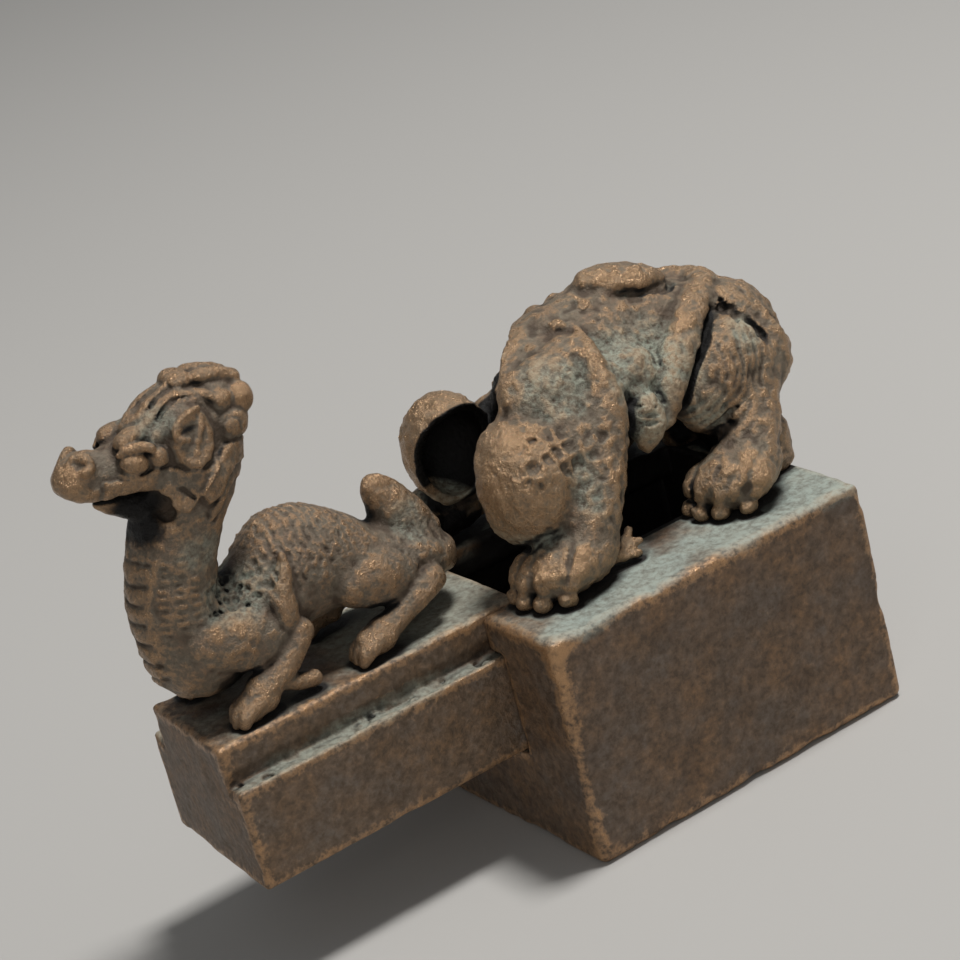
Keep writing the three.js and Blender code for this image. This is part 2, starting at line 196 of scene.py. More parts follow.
def speckle(points, size, seed):                    # smooth random bumps about size mm across, -1 to 1
    heights = np.random.default_rng(seed).uniform(-1, 1, (32, 32, 32)).astype(np.float32)
    spot = points / size + 64
    base = np.floor(spot).astype(int)
    part = spot - base
    part = part * part * (3 - 2 * part)
    value = 0
    for corner in np.ndindex(2, 2, 2):
        weight = np.prod(np.where(corner, part, 1 - part), axis=1)
        value = value + weight * heights[tuple(((base + corner) % 32).T)]
    return value


def cells(points, size, seed, stray=0.32):          # how far the nearest two cell middles are, in cells
    offsets = np.random.default_rng(seed).uniform(-stray, stray, (16, 16, 16, 3)).astype(np.float32)
    spot = points / size + 64
    base = np.floor(spot).astype(int)
    first = np.full(len(points), 9.0, np.float32)
    second = first.copy()
    for step in np.ndindex(3, 3, 3):
        cell = base + step - 1
        away = np.linalg.norm(cell + 0.5 + offsets[tuple((cell % 16).T)] - spot, axis=1)
        second = np.minimum(second, np.maximum(first, away))
        first = np.minimum(first, away)
    return first, second


def ramp(value, start, stop):                       # 0 to 1 with soft ends
    share = np.clip((value - start) / (stop - start), 0, 1)
    return share * share * (3 - 2 * share)


def within(points, at, size, edge=0.25):            # 1 inside an egg-shaped area on either side, 0 outside
    mirrored = np.abs(points[:, 1]) if at[1] > 0 else points[:, 1]
    away = np.stack([points[:, 0], mirrored, points[:, 2]], 1) - at
    return 1 - ramp(np.linalg.norm(away / size, axis=1), 1 - edge, 1 + edge)


def plate(points, outline, edge):                   # 1 inside a side-view outline of x and z, 0 outside
    x, _, z = points.T
    inside = np.zeros(len(points), bool)
    away = np.full(len(points), 9.0)
    for (ax, az), (bx, bz) in zip(outline, outline[1:] + outline[:1]):
        slope = (bx - ax) / (bz - az) if bz != az else 0.0
        inside ^= ((az > z) != (bz > z)) & (x < ax + slope * (z - az))
        t = np.clip(((x - ax) * (bx - ax) + (z - az) * (bz - az)) / ((bx - ax)**2 + (bz - az)**2), 0, 1)
        away = np.minimum(away, np.hypot(x - ax - t * (bx - ax), z - az - t * (bz - az)))
    return 1 - ramp(np.where(inside, -away, away), -edge, edge)


def shingles(along, across, pitch, width):          # rows of overlapping scales, raised at their free ends
    row = np.floor(along / pitch)
    place = along / pitch - row
    column = across / width + 0.5 * (row % 2)
    swing = np.abs(column - np.floor(column) - 0.5) * 2
    edge = place + 0.35 * swing**2                  # the free end is round
    return np.where(edge < 1, edge, edge - 1) * (1 - 0.4 * swing**2)


# From clay to mesh: a quad for each crossing of the skin, with wear, shelter (which carries painted shade)
# and bloom kept on the points.

def skinned(clay):
    field = clay.field
    inside = field < 0
    shape = tuple(n - 1 for n in inside.shape)
    count = np.zeros(shape, np.int8)
    for corner in np.ndindex(2, 2, 2):
        count += inside[tuple(slice(c, c + n) for c, n in zip(corner, shape))]
    boxes = np.argwhere((count > 0) & (count < 8))
    number = np.full(shape, -1, np.int32)
    number[tuple(boxes.T)] = np.arange(len(boxes))
    total = np.zeros((len(boxes), 3))
    hits = np.zeros((len(boxes), 1))
    for axis in range(3):
        for corner in np.ndindex(2, 2):
            start = np.insert(np.array(corner), axis, 0)
            a = field[tuple((boxes + start).T)]
            b = field[tuple((boxes + start + np.eye(3, dtype=int)[axis]).T)]
            crossed = (a < 0) != (b < 0)
            spot = np.repeat(start[None].astype(float), len(boxes), 0)
            spot[:, axis] += np.where(crossed, a / np.where(crossed, a - b, 1), 0)
            total += spot * crossed[:, None]
            hits += crossed[:, None]
    points = clay.low + (boxes + total / hits) * clay.grain
    quads = []
    for axis in range(3):
        u, v = np.eye(3, dtype=int)[[(axis + 1) % 3, (axis + 2) % 3]]
        ahead = tuple(slice(1, None) if i == axis else slice(None) for i in range(3))
        behind = tuple(slice(None, -1) if i == axis else slice(None) for i in range(3))
        edges = np.argwhere(inside[behind] != inside[ahead])
        keep = np.all((edges < shape) & (edges - u - v >= 0), axis=1)
        edges = edges[keep]
        ring = np.stack([number[tuple((edges - step).T)] for step in (0 * u, u, u + v, v)], 1)
        out = inside[tuple(edges.T)]
        quads.append(np.where(out[:, None], ring, ring[:, ::-1]))
    return points, np.vstack(quads)


ageing = {                                          # what wear, and the grime and painted shade of sheltered places, go by, in mm
    "fine": (0.16, 0.05),                           # width a bump is seen over, and the height that counts
    "broad": (0.55, 0.2),
    "looks": ((0.35, 0.35), (0.8, 0.35), (1.7, 0.3)),   # how far out from the skin, and what each counts for
    "gleam": 0.32,                                  # extra wear where it is polished
    "gleamSpots": 0.8,                              # width of the spots that break the polish up
}


def skinFacts(clay, points, beside):                # how rubbed and how sheltered each point of the skin is
    (fineWidth, fineHeight), (broadWidth, broadHeight) = ageing["fine"], ageing["broad"]
    short = np.clip(clay.field, -1.2, 1.2)
    level = clay.read(short, points)
    fine = clay.read(softened(short, max(1, round(fineWidth / clay.grain))), points) - level
    broad = clay.read(softened(short, max(2, round(broadWidth / clay.grain))), points) - level
    slope = np.stack([clay.read(clay.field, points + step) - clay.read(clay.field, points - step)
                      for step in np.eye(3) * clay.grain], 1)
    normal = slope / np.maximum(np.linalg.norm(slope, axis=1, keepdims=True), 1e-6)
    # the shelter later darkens the colour, partly as grime and partly as painted shade
    closed = np.zeros(len(points))
    for reach, weight in ageing["looks"]:
        probe = points + normal * reach
        clear = clay.read(clay.field, probe)
        for other, shift in beside:
            clear = np.minimum(clear, other.read(other.field, probe - shift))
        closed += weight * (1 - np.clip(clear / reach, 0, 1))
    wear = np.clip(0.5 + fine / fineHeight * 0.5 + broad / broadHeight * 0.5, 0, 1)
    return wear, closed


# Pours the clay as one piece. A look's bloom and polish are egg-shaped areas, each a middle and half sizes.

def cast(name, clay, look, place, body, node, beside=(), paintedShadeAt=None):
    points, quads = skinned(clay)
    wear, closed = skinFacts(clay, points, beside)
    # painted shade: the dark places given are added to the shelter, so that they are painted dark
    if paintedShadeAt:
        closed = np.maximum(closed, paintedShadeAt(points))
    bloom, polish = (np.max([within(points, at, size, 0.5) for at, size in look[area]], axis=0)
                     for area in ("bloom", "polish"))
    wear = wear + ageing["gleam"] * polish * ramp(speckle(points, ageing["gleamSpots"], 41), -0.8, 0.6)
    mesh = bpy.data.meshes.new(name)
    mesh.vertices.add(len(points))
    mesh.vertices.foreach_set("co", ((points + place) * mm).astype(np.float32).ravel())
    mesh.loops.add(quads.size)
    mesh.loops.foreach_set("vertex_index", quads.astype(np.int32).ravel())
    mesh.polygons.add(len(quads))
    mesh.polygons.foreach_set("loop_start", np.arange(0, quads.size, 4, dtype=np.int32))
    mesh.polygons.foreach_set("loop_total", np.full(len(quads), 4, np.int32))
    mesh.update(calc_edges=True)
    mesh.polygons.foreach_set("use_smooth", np.ones(len(quads), bool))
    for label, values in (("wear", wear), ("shelterAndShade", closed), ("bloom", bloom)):
        mesh.attributes.new(label, "FLOAT", "POINT").data.foreach_set("value", values.astype(np.float32))
    piece = bpy.data.objects.new(name, mesh)
    bpy.context.scene.collection.objects.link(piece)
    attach(piece, body)
    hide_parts(node)
    print(f"{name}: {len(points)} points, {len(quads)} quads")
    return piece, clay


# The outer seal's block, a square prism with a T-shaped slot.

outerBlock = {
    "grain": 0.18,
    "edge": 0.55,                                   # radius of the rubbed edges
    "slotFloor": 5.7,
    "slotHalf": 6.0,
    "tongueHalf": 4.65,
    "lip": 2.1,                                     # thickness of the rails over the slot
    "rearWall": 2.2,
    "dents": ((2.2, 0.16), (0.8, 0.05)),            # size and depth of the wear on its faces
    "nicks": (1.3, 0.22),                           # size and depth of the chips along its edges
    "paintedShade": 0.75,                                  # how dark the painted shade on the slot's walls is
    "bloom": (                                      # where verdigris shows
        ((10.4, -8.9, 14.3), (2.4, 3.0, 1.0)), ((-3.4, -9.2, 14.3), (2.8, 2.0, 1.0)),
        ((-8.5, -10.6, 14.3), (3.0, 1.6, 1.0)), ((6.0, 9.0, 14.3), (6.0, 3.0, 1.0)),
    ),
    "polish": (                                     # where it is rubbed bright
        ((-11.2, -11.2, 13.2), (1.2, 1.2, 2.4)), ((11.0, -11.2, 13.8), (2.4, 1.0, 1.0)),
    ),
}


def makeOuterBlock(look, beast):
    clay = Clay(blockLow - margin, blockHigh + margin, look["grain"])
    clay.slab(blockLow, blockHigh, soft=look["edge"])

    def weather(points):                            # only ever worn inwards, so that the slide stays free
        worn = 0
        for size, depth in look["dents"]:
            worn = worn - depth * ramp(speckle(points, size, 11), 0.1, 0.9)
        size, depth = look["nicks"]
        nick = ramp(speckle(points, size, 12), 0.45, 0.8)
        fromEdge = np.sort(np.minimum(points - blockLow, blockHigh - points), axis=1)[:, 1]
        return worn - depth * nick * (1 - ramp(fromEdge, 0.2, 1.0))

    clay.emboss(weather)
    front, rear = blockLow[0], blockHigh[0] - look["rearWall"]
    floor, ledge = look["slotFloor"], sealTop - look["lip"]
    wide, narrow = look["slotHalf"], look["tongueHalf"]
    clay.slab((front - 2, -wide, floor), (rear, wide, ledge), blend=0.12, carve=True)
    clay.slab((front - 2, -narrow, ledge - 1), (rear, narrow, sealTop + 2), blend=0.12, carve=True)

    def paintedShadeAt(points):                             # painted shade: the slot's walls and the rails over it, painted dark as if in shadow
        x, y, z = points.T
        inside = (np.abs(y) < wide + 0.1) * (z > floor - 0.1) * (x < rear + 0.1)
        walls = ramp(sealTop - z, 0.2, 1.2) * inside * ramp(x, front + 0.3, front + 1.5)
        rails = (np.abs(y) < narrow + 0.6) * (z > sealTop - 2) * (x < rear + 0.4)
        return look["paintedShade"] * np.maximum(walls, rails * ramp(x, front + 3, front + 7))

    # the beast on it adds to the shelter, which paints shade on the block under it
    return cast("outerBlock", clay, look, (0, 0, 0), "outer_seal", "outer_seal_block",
                ((beast, motherPlace),), paintedShadeAt)


# The inner seal's block, an upside-down T that slides in the slot.

innerBlock = {
    "grain": 0.13,
    "edge": 0.3,                                    # radius of the rubbed edges
    "tongueHalf": 4.5,
    "tongueDeep": 2.25,                             # how far the ledges lie below the platform
    "skew": 0.8,                                    # the front face stands a little askew
    "dents": ((0.9, 0.05), (2.4, 0.1)),             # size and depth of the wear on its faces
    "pits": (0.45, 1.1),                            # sizes of the pitting on the ledges
    "corrosion": 0.35,                              # and its depth
    "polish": (((17.0, -4.6, 0.0), (1.6, 0.8, 0.8)),),
    "bloom": (((9.0, 5.2, -2.2), (9.0, 1.0, 0.7)), ((16.0, 0.0, 0.0), (5.0, 5.0, 0.6))),
}


def makeInnerBlock(look, beast):
    low, high = drawerLow - cubPlace, drawerHigh - cubPlace
    clay = Clay(low - margin, high + margin, look["grain"])
    ledge, half = -look["tongueDeep"], look["tongueHalf"]
    clay.slab(low, (high[0], high[1], ledge), soft=look["edge"])
    clay.slab((0, -half, ledge - 1.5), (high[0], half, 0), soft=look["edge"])
    spans, x, y, z = clay.everywhere()
    askew = look["skew"] * (y / high[1] + 1) / 2 - x + 0 * z
    clay.press(spans, -askew.astype(np.float32), blend=0.3, carve=True)

    def weather(points):
        (small, shallow), (large, deep) = look["dents"]
        worn = -shallow * ramp(speckle(points, small, 21), 0.1, 0.9)
        worn = worn - deep * ramp(speckle(points, large, 22), 0.2, 0.9)
        small, large = look["pits"]
        pits = ramp(speckle(points, small, 23) + 0.6 * speckle(points, large, 24), -0.1, 0.7)
        side, height = np.abs(points[:, 1]), np.abs(points[:, 2] - ledge)
        onLedge = ramp(side, half - 0.15, half + 0.1)
        onLedge *= 1 - ramp(height, 0.3, 0.7)
        onLedge *= 1 - ramp(side, high[1] - 0.55, high[1] - 0.2)
        return worn - look["corrosion"] * (0.35 + pits) * onLedge

    clay.emboss(weather)
    # the beast on it adds to the shelter, which paints shade on the platform under it
    return cast("innerBlock", clay, look, cubPlace, "inner_seal", "inner_seal_block",
                ((beast, np.zeros(3)),))


# The outer beast: a headless crouching body, hollow from the front, that the inner beast completes.

mother = {
    "grain": 0.155,
    "space": ((-10.7, -10.0, -0.6), (14.4, 10.0, 15.4)),        # corners of its clay
    "trunk": ((-6.4, 4.2, 12.3, 6.4, 4.2), (-3.4, 4.3, 12.7, 6.6, 4.4), (-1.6, 4.6, 13.2, 6.8, 4.7),
              (1.5, 4.8, 13.7, 6.8, 5.0), (5.0, 4.9, 13.2, 6.7, 5.0), (8.5, 5.2, 12.3, 6.5, 4.0),
              (11.0, 5.2, 10.9, 5.6, -1.5), (12.2, 4.3, 8.8, 5.2, 0.5), (13.1, 0.6, 6.4, 5.6, 4.8)),
    "neckCut": ((-3.2, -5.7), (0, -2.4), (4, 0.4)),             # y and x: the neck is cut off very askew
    "neckRim": ((-5.2, -4.2, 9.4, 0.7), (-5.2, -3.5, 10.8, 0.7), (-4.3, -2.1, 11.6, 0.6),
                (-1.8, 0, 12.3, 0.5), (-0.2, 2.4, 11.6, 0.5), (0.8, 3.9, 10.0, 0.5)),
    "nearShoulder": ((-3.0, -3.4, 9.3), (3.0, 2.2, 3.2), (0, 12, 0)),
    "chest": ((-1.4, -3.2, 11.3), (2.1, 1.4, 1.3), (0, -20, 0)),
    "farShoulder": ((-0.4, 3.4, 7.4), (2.2, 2.0, 2.6), (0, 0, 0)),
    "domes": (((-6.4, -4.2, 6.2), (2.9, 3.55, 3.8)),            # the near one and the far one, both hollow
              ((-5.8, 4.3, 6.3), (2.8, 3.3, 3.5))),
    "domeWall": 0.6,
    "armpit": ((-3.8, -5.2, 6.9), (2.3, 1.9, 3.0), (0, 15, 0)),
    "backKnots": ((2.0, -1.4, 13.3), (-0.3, -1.7, 13.0), (-2.4, -2.0, 12.3), (-2.2, -3.6, 11.2),
                  (1.9, 1.7, 13.2)),
    "knotSize": (0.5, 0.45, 0.4),
    "backLobe": ((5.7, 0, 13.3), (3.1, 1.8, 1.0), (0, 17, 0)),
    "lobeRoot": ((3.2, 0.2, 13.0), (2.2, 1.7, 0.85), (0, -8, 0)),
    "lobeCrack": ((3.8, 1.75, 13.2, 0.08), (5.0, 1.85, 12.85, 0.14), (6.4, 1.85, 12.5, 0.2),
                  (7.7, 1.75, 12.2, 0.28), (8.7, 0.9, 12.1, 0.22)),
    "tendons": (((0.6, -2.5, 12.6, 0.2), (0.15, -3.5, 12.05, 0.46), (-0.2, -4.2, 11.65, 0.7),
                 (-0.5, -5.05, 10.7, 0.84), (-0.75, -5.85, 9.5, 0.84), (-1.0, -6.4, 8.0, 0.66)),
                ((1.0, 2.5, 12.6, 0.5), (0.9, 3.5, 11.6, 0.7), (0.9, 4.3, 10.4, 0.9), (0.9, 4.8, 9.2, 1.0))),
    "foreLegs": (((0.0, -4.4, 10.2, 1.1), (-1.1, -5.2, 8.4, 1.75), (-3.0, -6.1, 5.5, 1.95),
                  (-4.2, -6.7, 3.4, 1.85), (-4.9, -6.9, 2.0, 1.85)),
                 ((1.6, 4.4, 9.2, 0.9), (0.6, 5.2, 7.4, 1.2), (-2.6, 6.1, 5.4, 1.7),
                  (-4.2, 6.7, 3.4, 1.85), (-4.9, 6.9, 2.0, 1.85))),     # the far one is set back
    "forePaw": ((-6.5, 7.0, 1.8), (2.6, 2.2, 1.7), (0, -10, 0)),
    "foreToes": ((-9.8, 5.3), (-10.0, 6.45), (-9.6, 7.65), (-8.5, 8.6)),        # x and y of each tip
    "foreGrooves": (((-8.05, 9.0, 1.4, 0.1), (-7.31, 8.75, 2.65, 0.17), (-6.3, 8.05, 3.4, 0.1)),
                    ((-9.25, 8.0, 1.6, 0.1), (-8.52, 7.83, 2.8, 0.17), (-7.2, 7.0, 3.5, 0.1)),
                    ((-9.75, 6.3, 1.2, 0.1), (-9.4, 6.6, 2.35, 0.17), (-8.0, 6.2, 3.15, 0.1))),
    "foreTuft": ((-3.4, 7.0, 0.8), ((-1.5, 6.3, 1.5), (-1.3, 6.9, 0.9), (-1.8, 7.3, 0.4))),
    "flank": ((2.2, 4.3, 8.9), (2.0, 1.3, 2.0), (0, 0, 0)),
    "band": ((10.8, 0.7, 11.1, 1.0), (9.3, 2.3, 11.0, 1.1), (7.2, 3.6, 10.35, 1.2), (5.2, 4.6, 9.2, 1.2),
             (3.9, 5.1, 7.8, 1.1), (3.2, 5.3, 6.5, 0.8)),
    "slit": ((9.2, 3.7, 10.7, 0.3), (8.0, 4.6, 10.2, 0.7), (6.9, 5.2, 9.4, 0.9), (5.9, 5.6, 8.6, 0.9),
             (5.2, 5.7, 7.6, 0.8), (4.8, 5.6, 6.6, 0.5)),
    "slitAcross": ((0.72, 0.04, -0.62), 0.13),      # the slit is narrow this way and deep the other
    "thigh": ((8.3, 4.6, 7.0), (3.9, 2.2, 3.2), (0, -26, 0)),
    "thighFringe": {"from": (5.6, 6.4, 5.7), "step": 0.6, "count": 5,
                    "stroke": ((0.6, 0, 0.4, 0.1), (0, 0.1, -0.4, 0.15), (-0.3, -0.3, -1.2, 0.13))},
    "knee": ((11.2, 4.7, 6.9), (2.0, 1.7, 2.3), (0, 10, 0)),
    "rumpRim": ((10.8, 1.2, 11.2, 0.5), (12.0, 2.4, 10.5, 0.65), (12.8, 3.4, 9.0, 0.7),
                (12.7, 4.3, 7.6, 0.6)),
    "rump": ((10.8, 2.8, 8.8), (2.5, 2.4, 2.6), (0, 0, 0)),
    "heel": ((10.5, 4.5, 1.5), (1.5, 1.5, 2.4), (0, 0, 0)),
    "hindLeg": ((10.6, 4.9, 6.9, 1.5), (9.4, 5.6, 5.3, 1.65), (8.5, 6.2, 3.9, 1.75), (7.6, 6.7, 2.6, 1.8)),
    "hindPaw": ((6.3, 6.95, 1.9), (2.7, 2.2, 1.9), (0, -8, 0)),
    "hindToes": ((2.9, 5.45), (2.8, 6.55), (3.4, 7.7), (4.7, 8.65)),
    "hindGrooves": (((4.95, 8.9, 0.9, 0.14), (5.44, 9.08, 2.05, 0.2), (6.0, 8.9, 3.1, 0.12)),
                    ((3.75, 8.25, 0.8, 0.14), (4.12, 8.47, 1.7, 0.2), (4.85, 8.45, 2.85, 0.12)),
                    ((3.3, 7.05, 0.8, 0.14), (3.6, 7.62, 2.1, 0.2), (4.5, 7.6, 3.1, 0.12))),
    "hindTuft": ((9.2, 6.2, 1.0), ((10.9, 5.7, 0.9), (11.2, 5.5, 1.9))),
    "knuckle": ((1.7, 1.8), (1.45, 0.7, 1.0), (0, -28, 0), 0.12),   # back and up, size, turn, blend
    "toe": ((0.62, 0.5), (0.62, 0.54, 0.52), (0, 0, 0), 0.08),
    "belly": ((2.1, 5.2, 8.1, 0.7), (1.8, 5.5, 7.3, 1.2), (1.6, 5.65, 6.3, 0.95), (1.4, 5.7, 5.3, 0.35)),
    "bellyFolds": (((0.7, 5.5, 8.25, 0.1), (1.3, 6.1, 8.05, 0.14), (2.1, 6.5, 7.8, 0.1)),
                   ((0.7, 6.1, 7.85, 0.1), (1.3, 6.5, 7.6, 0.14), (2.1, 6.65, 7.3, 0.1)),
                   ((0.6, 6.2, 7.4, 0.1), (1.2, 6.55, 7.15, 0.14), (2.0, 6.7, 6.85, 0.1))),
    "tail": ((12.0, 0, 8.0, 0.95), (12.9, -0.4, 5.4, 0.9), (12.1, -1.4, 2.6, 0.8), (10.8, -2.3, 0.9, 0.65)),
    "tailCurls": (((12.9, 0.9, 8.6, 0.4), (12.3, 1.9, 9.6, 0.5), (11.3, 2.4, 10.4, 0.5),
                   (10.6, 1.8, 11.0, 0.4)),
                  ((13.0, 2.4, 7.6, 0.4), (12.6, 3.3, 8.4, 0.5), (11.7, 3.5, 9.3, 0.5),
                   (11.0, 3.0, 10.1, 0.4))),
    "tailBand": ((10.4, 3.1, 11.0, 0.55), (11.2, 4.0, 10.3, 0.6), (11.7, 4.6, 9.3, 0.65),
                 (11.8, 5.3, 8.2, 0.7), (11.8, 5.7, 7.0, 0.6)),
    "tailEdge": ((9.1, 3.9, 10.6, 0.12), (9.9, 4.6, 10.4, 0.28), (10.4, 5.3, 9.8, 0.32),
                 (10.65, 5.8, 9.0, 0.28), (10.75, 6.2, 8.2, 0.14)),
    "rumpSlots": (((9.9, 3.7, 10.9, 0.16), (9.75, 4.0, 10.5, 0.28), (9.3, 4.7, 10.35, 0.2)),
                  ((10.15, 4.35, 10.5, 0.16), (10.0, 4.75, 10.1, 0.28), (9.5, 5.5, 10.0, 0.2)),
                  ((10.5, 5.1, 9.5, 0.16), (10.7, 5.4, 9.1, 0.28), (10.9, 5.7, 8.6, 0.2))),
    "polish": (((-0.3, 4.6, 11.9), (0.7, 1.2, 1.3)), ((-0.7, 5.8, 10.6), (0.7, 0.8, 1.0)),
               ((9.5, 2.8, 12.0), (1.2, 1.2, 0.8)), ((6.2, 4.6, 11.1), (1.2, 1.3, 1.2)),
               ((4.2, 5.5, 9.6), (0.9, 0.9, 1.2)), ((11.7, 6.3, 6.5), (1.0, 1.2, 1.6)),
               ((10.0, 7.1, 5.5), (1.0, 1.0, 1.2)), ((6.4, 9.0, 2.7), (1.6, 1.2, 1.0)),
               ((-7.2, 5.5, 9.6), (1.4, 1.4, 0.9)), ((-9.1, 5.3, 7.4), (1.0, 1.6, 1.4)),
               ((5.3, 1.5, 13.9), (2.6, 1.4, 0.8)), ((-2.0, 7.6, 6.6), (0.9, 1.0, 1.8)),
               ((-6.3, 9.0, 2.6), (1.5, 1.0, 0.8)), ((-8.5, 7.5, 2.7), (1.2, 1.4, 0.8))),
    "bloom": (((2.1, -4.6, 10.2), (1.9, 2.2, 3.0)), ((-3.2, -4.8, 10.8), (2.2, 2.4, 1.9)),
              ((5.8, -6.2, 6.0), (1.3, 1.4, 1.2)), ((-4.2, -7.2, 5.4), (1.3, 1.4, 2.2)),
              ((1.8, -5.9, 7.2), (1.6, 1.6, 1.8)), ((9.6, -6.0, 9.4), (1.2, 1.4, 1.2)),
              ((-6.5, 4.5, 3.6), (3.0, 3.0, 0.9)), ((3.0, 4.8, 9.5), (4.0, 2.6, 3.0))),
    "farPaintedShade": (((-2.4, 4.0, 8.4), (2.0, 0.6, 2.0)), ((-2.2, 5.0, 7.6), (1.2, 0.9, 0.9)),
                 ((-5.5, 5.2, 0.7), (2.4, 0.8, 0.9))),          # places painted dark as shade, on the far side only
    "rearPaintedShade": ((9.6, 0, 1.5), (1.3, 4.6, 3.0)),              # and painted dark at the back of the hollow
    # how dark that painted shade is
    "paintedShade": 0.85,
    "cupGrit": ((-7.4, 4.4, 3.9), (2.2, 2.0, 1.1)),             # pale grit lies in the domes
    "skin": ((1.3, 0.09), (0.42, 0.11)),                        # width and height of the cast roughness
    "netCell": 0.95,                                            # coarser than the real net, so that it shows
    "net": ((-6.1, 7.0, 7.9), (2.0, 2.2, 2.0)),                 # raised lines on the dome
    "netLimb": ((-2.8, 7.2, 6.4), (2.2, 2.0, 2.8)),             # and fainter on the leg
    "pebble": (0.5, 0.14),                                      # width and height
    "coat": (((-1.8, 4.2, 10.8), (3.4, 2.4, 2.6), 1.0), ((2.6, 4.4, 10.4), (2.4, 2.6, 3.6), 1.0),
             ((5.0, 2.4, 12.3), (4.0, 2.4, 1.4), 0.5), ((11.5, 3.5, 8.5), (2.2, 2.5, 2.8), 1.0),
             ((8.6, 6.6, 3.8), (2.2, 2.2, 2.4), 0.6)),          # where the pebbled coat lies, and how strong
    "thighHair": ((8.6, 6.2, 8.0), (2.2, 2.2, 1.8)),            # upright hair above
    "shankHair": ((6.4, 6.4, 5.7), (2.0, 2.2, 1.3)),            # hair that slants forward below
    "tunnel": {"footHalf": 4.8, "footTop": 2.4, "half": 3.9, "spring": 5.8, "crown": 10.3, "end": 8.9},
}


def paw(clay, look, foot):                          # a row of long knuckles over small round toes
    for x, y in look[foot + "Toes"]:
        for (back, height), size, turn, blend in (look["knuckle"], look["toe"]):
            clay.egg((x + back, y, height), size, turn, blend)
    for groove in look[foot + "Grooves"]:
        clay.rod(groove, blend=0.2, carve=True)


def tuft(clay, root, tips):                         # a spray of short hair locks
    for tip in tips:
        middle = [(a + b) / 2 for a, b in zip(root, tip)]
        clay.rod(((*root, 0.5), (*middle, 0.34), (*tip, 0.16)), blend=0.1)


def tunnelWay(tunnel, x, y, z):                     # distance to the way that the inner beast slides in by
    taper = tunnel["footTop"] + tunnel["footHalf"] - tunnel["half"]
    walls = np.abs(y) - np.interp(z, (tunnel["footTop"], taper), (tunnel["footHalf"], tunnel["half"]))
    rise = (z - tunnel["spring"]) * tunnel["half"] / (tunnel["crown"] - tunnel["spring"])
    vault = np.sqrt(y**2 + rise**2) - tunnel["half"]
    return np.maximum(np.where(z > tunnel["spring"], vault, walls), x - tunnel["end"]).astype(np.float32)


